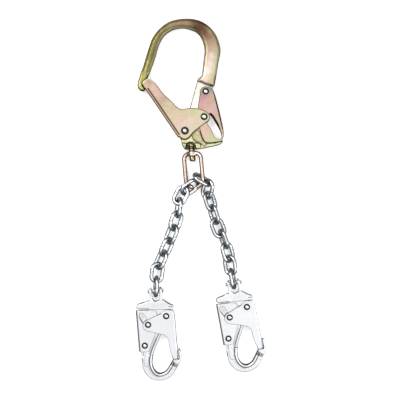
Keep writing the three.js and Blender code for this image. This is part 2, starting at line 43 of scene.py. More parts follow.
WEB = [ [20.4, 128.1], [11.4, 122.7], [7.8, 111.9], [3.3, 95.7], [-0.3, 82.1], [-3, 72.2], [-8.4, 57.8], [-16.2, 45.1], [-22.3, 38.3], [-25, 34], [-25.4, 28.9], [-23.4, 23.9], [-20.1, 19.5], [-18.3, 14.5], [-16.2, 6.4], [-12.2, -0.3], [-0.3, -1], [13.2, 0], [25, 1.8], [51.1, 8.3], [55.1, 12.3], [53.8, 14.8], [35.8, 14.7], [27.1, 13.9], [24.6, 17.7], [23.5, 24.4], [24.1, 31.6], [22.2, 42.4], [18.1, 52], [15.9, 57.8], [17.4, 62.8], [22.4, 65], [27.1, 69.5], [30.7, 77.6], [33.6, 88.4], [35.6, 99.3], [37.2, 106.1], [39.4, 111.9], [40.3, 120.9], [41.2, 128.1], ]
GATE_PLATE = [ [-86.5, 112.8], [-86, 116.9], [-83.3, 119.8], [-79.3, 122.4], [-72.5, 123.6], [-68.9, 120.6], [-61.6, 112.8], [-54.4, 102.9], [-49, 95.7], [-42.7, 90.2], [-34.6, 82.7], [-25.6, 73.1], [-20.1, 70], [-14.7, 69.5], [-9.3, 70.8], [-2.1, 71.3], [6.9, 70.9], [15.9, 69.5], [23.1, 66.8], [28.9, 62.8], [31.8, 58.7], [32.2, 53.8], [29.5, 48.8], [23.1, 44.2], [12.3, 36.1], [3.3, 28.9], [-0.8, 23.9], [-5.4, 19], [-11.1, 16.6], [-16.2, 17.5], [-20.1, 19.9], [-24.5, 20.6], [-80, 102.5], [-83.3, 107.4], ]
GATE_SPINE = [ [-80, 102.5], [-78.4, 103.6], [-22.9, 21.7], [-24.5, 20.6], ]
LEVER_PLATE = [ [14.7, 95.7], [15, 101.1], [16.3, 105], [19.5, 108.3], [24.6, 109.6], [30.4, 108.3], [36.7, 105], [40.3, 98.4], [56.5, 30.7], [56.3, 20.8], [52.4, 13], [41.2, 11.2], [26.8, 10.7], [22.8, 13], [19.5, 19], [16.8, 27.1], [14.1, 36.1], [12, 50.6], [11.4, 70.4], [13.2, 86.6], ]
LEVER_SPINE = [ [38.3, 97.8], [40.3, 98.4], [56.5, 30.7], [54.5, 30.2], ]
LEVER_SLOT = [ [17.7, 58.7], [19.9, 61], [23.1, 61.7], [27.1, 61.4], [33.1, 59.6], [43, 45.1], [51.1, 29.8], [53.1, 20.8], [49.9, 17.4], [43.9, 17.4], [40.3, 21.2], [36.7, 29.3], [32.2, 37.6], [26.8, 45.7], [20.4, 50.9], [17.6, 54.5], ]
BOSS = [ [-17.3, 9.8], [-16.2, 6.2], [-12.2, -0.7], [-0.3, -1.4], [13.2, -0.3], [15.9, 3.7], [15.4, 9.8], ]
WINDOW = [ [-10.9, -5.4], [-10.9, 3.7], [-9.3, 8], [-6.1, 10.9], [-1.7, 11.8], [2.6, 10.9], [6.2, 8], [7.8, 3.7], [8.2, -5.4], ]
S_OUTER = [ [-33.7, -114.7], [-34, -121.7], [-34.1, -132], [-31.8, -140.3], [-27.9, -147.2], [-23.9, -152.2], [-16.9, -156.5], [-6.8, -159.2], [3.5, -158.3], [12.6, -154.9], [20.5, -148.2], [27, -137.8], ]
S_INNER = [ [-13.3, -111.6], [-15.3, -118.8], [-16.3, -127.5], [-14.9, -135], [-11.3, -141.9], [-7.2, -145.2], [-2.8, -146.3], [3.1, -145], [7.8, -142], [12.7, -135.8], [17.3, -129.4], ]
S_WEB = [ [-13.8, -26.3], [-15.1, -46.7], [-12.6, -55], [-12.5, -61.7], [-17.5, -63], [-26.4, -64.4], [-29.2, -67.7], [-32.1, -82.2], [-33.6, -93.8], [-34, -105.5], [-34.6, -124.6], [-16.5, -126.1], [-14.9, -117.4], [-12.3, -108.7], [-7.9, -99.5], [-0.9, -86.1], [4.3, -75.5], [8.2, -63.3], [13.1, -54.6], [18.5, -54.3], [22.7, -51.6], [25.1, -47], [25.9, -41.2], [27.1, -29.6], ]
S_HAT = [ [-6.2, -14.4], [-9.3, -16.3], [-12.9, -15.6], [-20.4, -17.6], [-33.2, -21], [-36.2, -23.9], [-35.9, -27], [-33.8, -28.6], [-20, -29.9], [-2.4, -31.6], [16.6, -33.1], [28.3, -33.8], [30.7, -31.3], [28.8, -27.5], [23.2, -24.1], [17.6, -20], [13.5, -16.4], [9.1, -16], ]
S_GATE = [ [-12.5, -46.7], [-3.4, -43], [7.2, -39.7], [16.4, -34.6], [27.5, -35.8], [29.1, -38.5], [30.1, -105.5], [30.3, -121.7], [25.2, -122.9], [20.9, -121.7], [20.1, -117.2], [17.6, -108.2], [16.6, -100.8], [16.1, -93.4], [15.2, -86], [12, -80.6], [7.1, -77.5], [0.6, -75.7], [-5.8, -73.4], [-14.4, -70.6], [-21.6, -68.3], [-25.7, -64.4], [-27.4, -59.7], [-26.4, -55.4], [-23.1, -51.3], [-18.6, -49.1], ]
S_GATESPINE = [ [27.7, -41.4], [29.3, -41.5], [30.5, -104.5], [28.9, -104.7], ]
S_LEVER = [ [-37.5, -31.7], [-21.6, -32.4], [-7, -33.6], [-1.6, -35.5], [-0.7, -39.1], [-3.5, -62.4], [-5.9, -74], [-12.1, -87.4], [-20.1, -105.2], [-24.3, -106], [-37.4, -104.7], ]
S_LEVERSPINE = [ [-37.5, -31.7], [-35.9, -31.8], [-35.8, -103.9], [-37.5, -103.8], ]
S_SLOT = [ [-31.4, -36.6], [-25.5, -36.5], [-22.4, -41.5], [-20.2, -48.1], [-16.7, -52.8], [-13.5, -55.7], [-13.6, -60.8], [-17.4, -62.2], [-21.7, -60.9], [-25.7, -56.2], [-28.7, -50.8], [-31.5, -45.4], [-32.3, -40.2], ]
S_NOSE = [ [30.7, -124], [31.8, -121.1], [31.2, -107.5], [31.7, -105.7], [33.7, -105.4], [35.5, -108.2], [36.2, -115.6], [35.6, -122.2], [33.6, -127.9], [29, -134.9], [22.5, -142.4], [14.8, -137.4], [17.7, -128.8], [21, -123.9], ]
S_TONGUE = [ [21.6, -125.4], [23.4, -116], [29.2, -113.6], [29.7, -126.1], ]
HOOK_AT = [-14.67, 90.52, 10.9]
CENTRING = [-1.749, -0.249, -0.1]
LEFT_LAY = [ [-17.72, 22.33, 10.26, -144.3, 5.9, 143.7], [-33.46, 7.97, 11.40, -117.3, 4.4, 21.2], [-37.74, -13.41, 13.87, -98.4, -2.2, 72.4], [-42.45, -37.16, 13.39, -105.7, 0.0, -37.9], [-50.05, -60.33, 13.35, -110.9, -2.4, 44.0], [-58.88, -83.04, 12.52, -113.6, -0.4, -46.5], [-68.54, -105.42, 11.91, -112.9, -0.1, 49.6], [-75.67, -128.20, 13.23, -97.2, 2.8, -26.0], [-77.44, -152.52, 13.81, -93.1, -0.5, 80.2], ]
RIGHT_LAY = [ [3.66, 35.93, 14.73, -28.9, -16.8, -64.4], [13.59, 18.96, 12.63, -101.2, -15.7, -139.5], [18.24, -2.48, 11.17, -72.8, 1.5, -44.0], [24.89, -25.81, 13.12, -72.2, 6.6, 59.2], [32.15, -49.02, 13.89, -68.8, -0.8, -23.8], [41.85, -68.96, 13.63, -70.0, 3.1, 69.6], [49.07, -92.19, 13.06, -74.4, -2.8, -38.9], [53.38, -115.35, 12.22, -80.9, 0.4, 36.0], [57.52, -138.62, 13.67, -79.8, -0.1, -77.7], ]

HOOK = np.array(HOOK_AT) + np.array(CENTRING)
SNAPS = {"left": ((-78.32, -160.89, 12.6), 4.6, 2.3), "right": ((59.58, -146.92, 12.6), 10.4, 2.3)}
GATE_PIVOT, LOCK_PIN, LEVER_PIVOT = (-11.7, 31.6), (22.2, 56.3), (25, 101.1)
S_GATE_PIVOT, S_LOCK_PIN, S_LEVER_PIVOT = (15.3, -44.8), (-17.8, -57.6), (-26.6, -94.4)
RECESS = [[-0.3, 26.2], [2.4, 18.1], [10.5, 12.3], [17.7, 7.3], [23.1, 3.7], [26.8, 6.4], [25.9, 10], [20.4, 14.5], [15.9, 25.3], [12.3, 33.4], [7.8, 32.5]]
S_PANEL = [[-29.7, -105.1], [-24.3, -106], [-23.8, -132.1], [-28.9, -131.7], [-30.5, -124.9]]


# ------------------------------------------------------------------ outlines to distance fields
def smoothed(pts, step=1.6, corner=46.0):
    """A closed outline with round curves through its points and its real corners kept."""
    p = np.array(pts, float)
    n = len(p)
    a = p - np.roll(p, 1, 0)
    b = np.roll(p, -1, 0) - p
    turn = np.degrees(np.abs(np.arctan2(a[:, 0] * b[:, 1] - a[:, 1] * b[:, 0], (a * b).sum(1))))
    sharp = turn > corner
    out = []
    for i in range(n):
        p1, p2 = p[i], p[(i + 1) % n]
        p0 = p[i - 1] if not sharp[i] else 2 * p1 - p2
        p3 = p[(i + 2) % n] if not sharp[(i + 1) % n] else 2 * p2 - p1
        t0, t1 = 0.0, math.sqrt(np.linalg.norm(p1 - p0)) + 1e-6
        t2 = t1 + math.sqrt(np.linalg.norm(p2 - p1)) + 1e-6
        t3 = t2 + math.sqrt(np.linalg.norm(p3 - p2)) + 1e-6
        k = max(1, int(np.linalg.norm(p2 - p1) / step))
        for j in range(k):
            t = t1 + (t2 - t1) * j / k
            A1 = (t1 - t) / (t1 - t0) * p0 + (t - t0) / (t1 - t0) * p1
            A2 = (t2 - t) / (t2 - t1) * p1 + (t - t1) / (t2 - t1) * p2
            A3 = (t3 - t) / (t3 - t2) * p2 + (t - t2) / (t3 - t2) * p3
            B1 = (t2 - t) / (t2 - t0) * A1 + (t - t0) / (t2 - t0) * A2
            B2 = (t3 - t) / (t3 - t1) * A2 + (t - t1) / (t3 - t1) * A3
            out.append((t2 - t) / (t2 - t1) * B1 + (t - t1) / (t2 - t1) * B2)
    return np.array(out)


def polygon(X, Y, pts):
    """Signed distance to a closed outline, negative inside."""
    p = np.array(pts, float)
    q = np.roll(p, -1, 0)
    d = np.full(X.shape, 1e12)
    inside = np.zeros(X.shape, bool)
    for (x0, y0), (x1, y1) in zip(p, q):
        ex, ey = x1 - x0, y1 - y0
        wx, wy = X - x0, Y - y0
        t = np.clip((wx * ex + wy * ey) / (ex * ex + ey * ey + 1e-12), 0, 1)
        np.minimum(d, (wx - ex * t) ** 2 + (wy - ey * t) ** 2, out=d)
        if y0 != y1:
            inside ^= ((y0 > Y) != (y1 > Y)) & (X < (x1 - x0) * (Y - y0) / (y1 - y0) + x0)
    d = np.sqrt(d)
    return np.where(inside, -d, d)


def smin(a, b, k):
    h = np.clip(0.5 + 0.5 * (b - a) / k, 0, 1)
    return b + (a - b) * h - k * h * (1 - h)


def smax(a, b, k):
    return -smin(-a, -b, k)


def ramp(x, a, b):
    t = np.clip((x - a) / (b - a), 0, 1)
    return t * t * (3 - 2 * t)


class Field:
    """A box of grid points, in which solids are written as signed distances."""

    def __init__(self, lo, hi, h):
        self.lo, self.h = np.array(lo, float), h
        self.n = [int(math.ceil((b - a) / h)) + 1 for a, b in zip(lo, hi)]
        self.x, self.y, self.z = [lo[k] + h * np.arange(self.n[k]) for k in range(3)]
        self.X, self.Y = np.meshgrid(self.x, self.y, indexing="ij")
        self.Z = self.z[None, None, :]
        self.X3, self.Y3 = self.X[:, :, None], self.Y[:, :, None]

    def flat(self, pts, smooth=True, corner=46.0):
        return polygon(self.X, self.Y, smoothed(pts, corner=corner) if smooth else pts)

    def extrude(self, d2, half, r):
        q0 = (d2 + r)[:, :, None] if d2.ndim == 2 else d2 + r
        rr = r[:, :, None] if isinstance(r, np.ndarray) and r.ndim == 2 else r
        hh = half[:, :, None] if isinstance(half, np.ndarray) and half.ndim == 2 else half
        if isinstance(r, np.ndarray):
            q0 = (d2 + r)[:, :, None]
        q1 = np.abs(self.Z) - hh + rr
        return np.minimum(np.maximum(q0, q1), 0) + np.hypot(np.maximum(q0, 0), np.maximum(q1, 0)) - rr

    def rod_z(self, at, r):
        return np.hypot(self.X3 - at[0], self.Y3 - at[1]) - r + 0 * self.Z

    def sample2(self, f, v):
        """A plan field read at points."""
        g = (v[:, :2] - self.lo[:2]) / self.h
        i = np.clip(np.floor(g).astype(int), 0, np.array(self.n[:2]) - 2)
        t = np.clip(g - i, 0, 1)
        a, b = f[i[:, 0], i[:, 1]], f[i[:, 0] + 1, i[:, 1]]
        c, d = f[i[:, 0], i[:, 1] + 1], f[i[:, 0] + 1, i[:, 1] + 1]
        return (a * (1 - t[:, 0]) + b * t[:, 0]) * (1 - t[:, 1]) + (c * (1 - t[:, 0]) + d * t[:, 0]) * t[:, 1]

    def surface(self, F, steps=3):
        """Vertices and four-cornered faces of the surface where F is zero."""
        F = F.astype(np.float32)
        s = F < 0
        nx, ny, nz = F.shape
        c = [s[i:nx - 1 + i, j:ny - 1 + j, k:nz - 1 + k] for i in (0, 1) for j in (0, 1) for k in (0, 1)]
        total = sum(a.astype(np.int8) for a in c)
        active = (total > 0) & (total < 8)
        idx = np.argwhere(active)
        ids = np.full(active.shape, -1, np.int64)
        ids[active] = np.arange(len(idx))
        pos = np.zeros((len(idx), 3))
        cnt = np.zeros(len(idx))
        corners = [(i, j, k) for i in (0, 1) for j in (0, 1) for k in (0, 1)]
        for a in corners:
            for axis in range(3):
                if a[axis]:
                    continue
                b = list(a); b[axis] = 1
                fa = F[idx[:, 0] + a[0], idx[:, 1] + a[1], idx[:, 2] + a[2]].astype(float)
                fb = F[idx[:, 0] + b[0], idx[:, 1] + b[1], idx[:, 2] + b[2]].astype(float)
                hit = (fa < 0) != (fb < 0)
                t = np.where(hit, fa / np.where(hit, fa - fb, 1), 0)
                q = np.tile(np.array(a, float), (len(idx), 1))
                q[:, axis] = t
                pos[hit] += q[hit]
                cnt[hit] += 1
        pos = pos / cnt[:, None] + idx
        quads = []
        for axis in range(3):
            o = [k for k in range(3) if k != axis]
            sl = [slice(1, F.shape[k] - 1) for k in range(3)]
            lo, hi = list(sl), list(sl)
            lo[axis], hi[axis] = slice(0, F.shape[axis] - 1), slice(1, F.shape[axis])
            A, B = s[tuple(lo)], s[tuple(hi)]
            e = np.argwhere(A != B)
            inside_first = A[tuple(e.T)]
            e = e.copy()
            for k in o:
                e[:, k] += 1
            def cell(d0, d1):
                g = e.copy()
                g[:, o[0]] -= d0
                g[:, o[1]] -= d1
                return ids[g[:, 0], g[:, 1], g[:, 2]]
            q = np.stack([cell(1, 1), cell(0, 1), cell(0, 0), cell(1, 0)], 1)
            flip = inside_first if axis != 1 else ~inside_first
            q = np.where(flip[:, None], q, q[:, ::-1])
            quads.append(q)
        quads = np.concatenate(quads)
        quads = quads[(quads >= 0).all(1)]
        # settle each vertex onto the surface
        n = np.array(F.shape)
        for _ in range(steps):
            i = np.clip(np.floor(pos).astype(int), 0, n - 2)
            t = pos - i
            f = np.zeros(len(pos)); g = np.zeros((len(pos), 3))
            for a in corners:
                w = [(t[:, k] if a[k] else 1 - t[:, k]) for k in range(3)]
                v = F[i[:, 0] + a[0], i[:, 1] + a[1], i[:, 2] + a[2]]
                f += v * w[0] * w[1] * w[2]
                g[:, 0] += (1 if a[0] else -1) * v * w[1] * w[2]
                g[:, 1] += (1 if a[1] else -1) * v * w[0] * w[2]
                g[:, 2] += (1 if a[2] else -1) * v * w[0] * w[1]
            m = (g ** 2).sum(1)
            move = -(f / np.maximum(m, 1e-6))[:, None] * g
            ln = np.linalg.norm(move, axis=1)
            move *= np.minimum(1, 0.35 / np.maximum(ln, 1e-9))[:, None]
            pos = pos + move * 0.8
        return self.lo + pos * self.h, quads


# ------------------------------------------------------------------ meshes
def place(M):
    return np.array(M, float)


def moved(M, v):
    return v @ M[:3, :3].T + M[:3, 3]


def rotation(axis, deg):
    return np.array(Matrix.Rotation(math.radians(deg), 4, axis))


def shift(x, y, z):
    M = np.eye(4); M[:3, 3] = (x, y, z)
    return M


AT_HOOK = shift(*HOOK)


def at_snap(side):
    p, turn, dip = SNAPS[side]
    return shift(*(np.array(p) + np.array(CENTRING))) @ rotation("Z", turn) @ rotation("X", dip)


AT_SWIVEL = AT_HOOK @ rotation("Z", 5.0)


def piece(name, verts, faces, M, body, material, nodes=(), tone=None, shade_and_marks=None, smooth=True, wall=0.0, rim=0.0):
    """A finished mesh in the shared frame, riding on its body."""
    v = moved(M, np.asarray(verts, float)) / 1000.0
    mesh = bpy.data.meshes.new(name)
    mesh.from_pydata(v.tolist(), [], [tuple(int(i) for i in f) for f in faces])
    mesh.validate()
    n = len(mesh.vertices)
    if tone is not None and n == len(v):
        a = mesh.attributes.new("tone", "FLOAT_COLOR", "POINT")
        c = np.ones((n, 4), np.float32); c[:, :3] = tone
        a.data.foreach_set("color", c.ravel())
    g = np.zeros(n, np.float32) if shade_and_marks is None or n != len(v) else shade_and_marks.astype(np.float32)
    # wall darkens the side walls by how far they turn from the piece's top: painted shade
    if np.any(wall) and n == len(v):
        no = np.zeros(n * 3, np.float32)
        mesh.vertices.foreach_get("normal", no)
        z = no.reshape(-1, 3) @ M[:3, 2].astype(np.float32)
        g = np.clip(g + wall * np.clip((0.75 - np.abs(z)) / 0.6, 0, 1), 0, 0.97)
    # rim darkens where the surface turns away from straight up, round the outline: painted shade
    if rim and n == len(v):
        no = np.zeros(n * 3, np.float32)
        mesh.vertices.foreach_get("normal", no)
        g = np.clip(g + rim * ramp(1 - np.abs(no.reshape(-1, 3)[:, 2]), 0.03, 0.19), 0, 0.97)
    # shade_and_marks: painted shade at edges, creases and hollows, with a few real forging marks
    a = mesh.attributes.new("shade_and_marks", "FLOAT", "POINT")
    a.data.foreach_set("value", g)
    if smooth:
        mesh.polygons.foreach_set("use_smooth", [True] * len(mesh.polygons))
    mesh.update()
    o = bpy.data.objects.new(name, mesh)
    bpy.context.scene.collection.objects.link(o)
    o.data.materials.append(material)
    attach(o, body)
    if nodes:
        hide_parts(*nodes)
    return o


def joined(parts):
    vs, fs, k = [], [], 0
    for v, f in parts:
        vs.append(np.asarray(v, float))
        fs += [tuple(i + k for i in q) for q in f]
        k += len(v)
    return np.concatenate(vs), fs


def lathe(profile, sides=48, axis="z", at=(0, 0, 0)):
    """Radius and height pairs, from axis to axis, turned about an axis."""
    prof = [p for p in profile]
    v, f = [], []
    rings = []
    for r, h in prof:
        if r < 1e-6:
            rings.append([len(v)]); v.append((0, 0, h))
        else:
            base = len(v)
            rings.append(list(range(base, base + sides)))
            for i in range(sides):
                a = 2 * math.pi * i / sides
                v.append((r * math.cos(a), r * math.sin(a), h))
    for a, b in zip(rings, rings[1:]):
        for i in range(sides):
            j = (i + 1) % sides
            if len(a) == 1:
                f.append((a[0], b[j], b[i]))
            elif len(b) == 1:
                f.append((a[i], a[j], b[0]))
            else:
                f.append((a[i], a[j], b[j], b[i]))
    v = np.array(v, float)
    if axis == "y":
        v = np.stack([v[:, 1], v[:, 2], v[:, 0]], 1)
    if axis == "x":
        v = np.stack([v[:, 2], v[:, 0], v[:, 1]], 1)
    return v + np.array(at, float), f


def sweep(path, radius, sides=18, closed=True, squash=None):
    """A round bar along a path; radius may change along it."""
    p = np.array(path, float)
    n = len(p)
    r = np.full(n, radius) if np.isscalar(radius) else np.asarray(radius)
    if closed:
        t = np.roll(p, -1, 0) - np.roll(p, 1, 0)
    else:
        t = np.gradient(p, axis=0)
    t /= np.linalg.norm(t, axis=1)[:, None]
    up = np.array([0.0, 0, 1]) if abs(t[0][2]) < 0.9 else np.array([1.0, 0, 0])
    N = []
    a = np.cross(t[0], up); a /= np.linalg.norm(a)
    for i in range(n):
        a = a - t[i] * (a @ t[i]); a /= np.linalg.norm(a)
        N.append(a)
    N = np.array(N)
    if closed:
        last = N[-1] - t[0] * (N[-1] @ t[0]); last /= np.linalg.norm(last)
        ang = math.atan2(np.cross(last, N[0]) @ t[0], last @ N[0])
        fix = []
        for i in range(n):
            b = np.cross(t[i], N[i]); w = ang * i / n
            fix.append(math.cos(w) * N[i] + math.sin(w) * b)
        N = np.array(fix)
    B = np.cross(t, N)
    v, f = [], []
    for i in range(n):
        for k in range(sides):
            w = 2 * math.pi * k / sides
            v.append(p[i] + r[i] * (math.cos(w) * N[i] + math.sin(w) * B[i]))
    m = n if closed else n - 1
    for i in range(m):
        j = (i + 1) % n
        for k in range(sides):
            l = (k + 1) % sides
            f.append((i * sides + k, i * sides + l, j * sides + l, j * sides + k))
    if not closed:
        f.append(tuple(range(sides - 1, -1, -1)))
        f.append(tuple((n - 1) * sides + k for k in range(sides)))
    return np.array(v), f


def tones(points, v, spread, wash=0.38):
    """Listed colours laid over a piece, each strongest near its own place."""
    w = np.zeros(len(v)); c = np.zeros((len(v), 3))
    for x, y, rgb in points:
        k = 1.0 / (((v[:, 0] - x) ** 2 + (v[:, 1] - y) ** 2) / spread ** 2 + 0.06) ** 1.6
        w += k
        c += k[:, None] * np.array(rgb)
    c = c / w[:, None]
    return (c + wash * (c.max(1)[:, None] - c)) ** 2.2


# ------------------------------------------------------------------ materials
def linear(c):
    return tuple(k ** 2.2 for k in c)


def plated(name, base, second, third, rough=0.3, metal=0.95, edge=0.35, blotch=38.0, mix=0.35, grain=0.12, bump=0.05, use_tone=True, shade_and_mark_colour=(0.16, 0.13, 0.08)):
    base, second, third, shade_and_mark_colour = linear(base), linear(second), linear(third), linear(shade_and_mark_colour)
    m = bpy.data.materials.new(name)
    m.use_nodes = True
    nt = m.node_tree
    N, L = nt.nodes, nt.links
    N.clear()
    out = N.new("ShaderNodeOutputMaterial")
    bs = N.new("ShaderNodeBsdfPrincipled")
    L.new(bs.outputs[0], out.inputs[0])
    bs.inputs["Metallic"].default_value = metal
    bs.inputs["Specular Tint"].default_value = (edge, edge, edge, 1)
    tc = N.new("ShaderNodeTexCoord")

    def noise(scale, detail, rough_, seed):
        mp = N.new("ShaderNodeMapping")
        mp.inputs["Location"].default_value = (seed, seed * 0.7, seed * 1.3)
        n = N.new("ShaderNodeTexNoise")
        n.inputs["Scale"].default_value = scale
        n.inputs["Detail"].default_value = detail
        n.inputs["Roughness"].default_value = rough_
        L.new(tc.outputs["Object"], mp.inputs[0])
        L.new(mp.outputs[0], n.inputs["Vector"])
        return n

    def mixer(fac, a, b, kind="MIX"):
        x = N.new("ShaderNodeMix"); x.data_type = "RGBA"; x.blend_type = kind
        if isinstance(fac, (int, float)):
            x.inputs[0].default_value = fac
        else:
            L.new(fac, x.inputs[0])
        for val, k in ((a, 6), (b, 7)):
            if isinstance(val, tuple):
                x.inputs[k].default_value = (*val, 1)
            else:
                L.new(val, x.inputs[k])
        return x.outputs[2]

    def window(src, lo, hi, to0=0.0, to1=1.0):
        r = N.new("ShaderNodeMapRange")
        r.inputs[1].default_value, r.inputs[2].default_value = lo, hi
        r.inputs[3].default_value, r.inputs[4].default_value = to0, to1
        L.new(src, r.inputs[0])
        return r.outputs[0]

    if use_tone:
        at = N.new("ShaderNodeAttribute"); at.attribute_name = "tone"
        col = at.outputs["Color"]
    else:
        col = base
    big = noise(blotch, 3.0, 0.55, 3.1)
    mid = noise(blotch * 3.7, 4.0, 0.6, 7.7)
    fine = noise(900.0, 3.0, 0.6, 1.9)
    speck = noise(2600.0, 2.0, 0.5, 5.3)
    f1 = window(big.outputs[0], 0.42, 0.68, 0.0, mix)
    col = mixer(f1, col, second)
    f2 = window(mid.outputs[0], 0.5, 0.75, 0.0, mix * 0.8)
    col = mixer(f2, col, third)
    f3 = window(fine.outputs[0], 0.3, 0.7, 1.0 - grain, 1.0 + grain * 0.4)
    g = N.new("ShaderNodeCombineColor")
    for k in range(3):
        L.new(f3, g.inputs[k])
    col = mixer(1.0, col, g.outputs[0], "MULTIPLY")
    # the shade_and_marks attribute mixes in the dark colour: painted shade, with a few real forging marks
    ga = N.new("ShaderNodeAttribute"); ga.attribute_name = "shade_and_marks"
    col = mixer(ga.outputs["Fac"], col, shade_and_mark_colour)
    L.new(col, bs.inputs["Base Color"])
    r1 = window(mid.outputs[0], 0.3, 0.7, rough * 0.85, rough * 1.2)
    r2 = window(fine.outputs[0], 0.3, 0.7, -0.04, 0.06)
    ad = N.new("ShaderNodeMath"); ad.operation = "ADD"
    L.new(r1, ad.inputs[0]); L.new(r2, ad.inputs[1])
    ad2 = N.new("ShaderNodeMath"); ad2.operation = "MULTIPLY_ADD"
    L.new(ga.outputs["Fac"], ad2.inputs[0]); ad2.inputs[1].default_value = 0.3
    L.new(ad.outputs[0], ad2.inputs[2])
    L.new(ad2.outputs[0], bs.inputs["Roughness"])
    hsum = N.new("ShaderNodeMath"); hsum.operation = "ADD"
    L.new(fine.outputs[0], hsum.inputs[0]); L.new(speck.outputs[0], hsum.inputs[1])
    bp = N.new("ShaderNodeBump")
    bp.inputs["Strength"].default_value = bump
    bp.inputs["Distance"].default_value = 0.0006
    L.new(hsum.outputs[0], bp.inputs["Height"])
    L.new(bp.outputs[0], bs.inputs["Normal"])
    return m


GOLD = (0.66, 0.56, 0.26); OLIVE = (0.50, 0.46, 0.19); ROSE = (0.80, 0.52, 0.48); PINK = (0.88, 0.66, 0.64)
GREEN = (0.62, 0.70, 0.36); CREAM = (0.90, 0.86, 0.62); BROWN = (0.34, 0.20, 0.12); TAN = (0.82, 0.66, 0.46)
forged_mat = plated("forged_yellow_zinc", GOLD, (0.72, 0.66, 0.50), (0.58, 0.58, 0.40), rough=0.34, mix=0.20, grain=0.26, bump=0.28, shade_and_mark_colour=(0.22, 0.19, 0.12))
gate_mat = plated("gate_yellow_zinc", TAN, (0.90, 0.78, 0.70), (0.82, 0.80, 0.64), rough=0.27, mix=0.26, grain=0.10, bump=0.05, shade_and_mark_colour=(0.24, 0.12, 0.05))
lever_mat = plated("lever_yellow_zinc", ROSE, (0.88, 0.76, 0.68), (0.78, 0.64, 0.68), rough=0.27, mix=0.28, grain=0.10, bump=0.05, shade_and_mark_colour=(0.20, 0.07, 0.07))
ring_mat = plated("ring_yellow_zinc", (0.94, 0.86, 0.79), (0.97, 0.92, 0.86), (0.86, 0.72, 0.63), rough=0.24, mix=0.40, grain=0.12, bump=0.10, use_tone=False, shade_and_mark_colour=(0.33, 0.19, 0.11))
stud_mat = plated("stud_yellow_zinc", (0.78, 0.73, 0.52), (0.90, 0.86, 0.72), (0.68, 0.66, 0.44), rough=0.22, mix=0.4, grain=0.1, bump=0.05, use_tone=False)
rivet_mat = plated("rivet_bright", (0.95, 0.95, 0.95), (0.90, 0.91, 0.92), (0.97, 0.97, 0.96), rough=0.22, mix=0.3, grain=0.08, bump=0.05, use_tone=False, shade_and_mark_colour=(0.05, 0.05, 0.05))
chain_mat = plated("chain_bright_zinc", (0.93, 0.95, 0.96), (0.97, 0.97, 0.98), (0.84, 0.88, 0.90), rough=0.15, mix=0.5, grain=0.12, bump=0.10, use_tone=False, blotch=90.0, shade_and_mark_colour=(0.26, 0.29, 0.31))
snap_mat = plated("snap_bright_zinc", (0.93, 0.94, 0.95), (0.97, 0.97, 0.98), (0.88, 0.91, 0.93), rough=0.30, mix=0.5, grain=0.08, bump=0.07, use_tone=False, shade_and_mark_colour=(0.16, 0.17, 0.18))
spring_mat = plated("spring_wire", (0.50, 0.51, 0.53), (0.60, 0.60, 0.62), (0.40, 0.41, 0.44), rough=0.3, mix=0.4, grain=0.1, bump=0.06, use_tone=False)

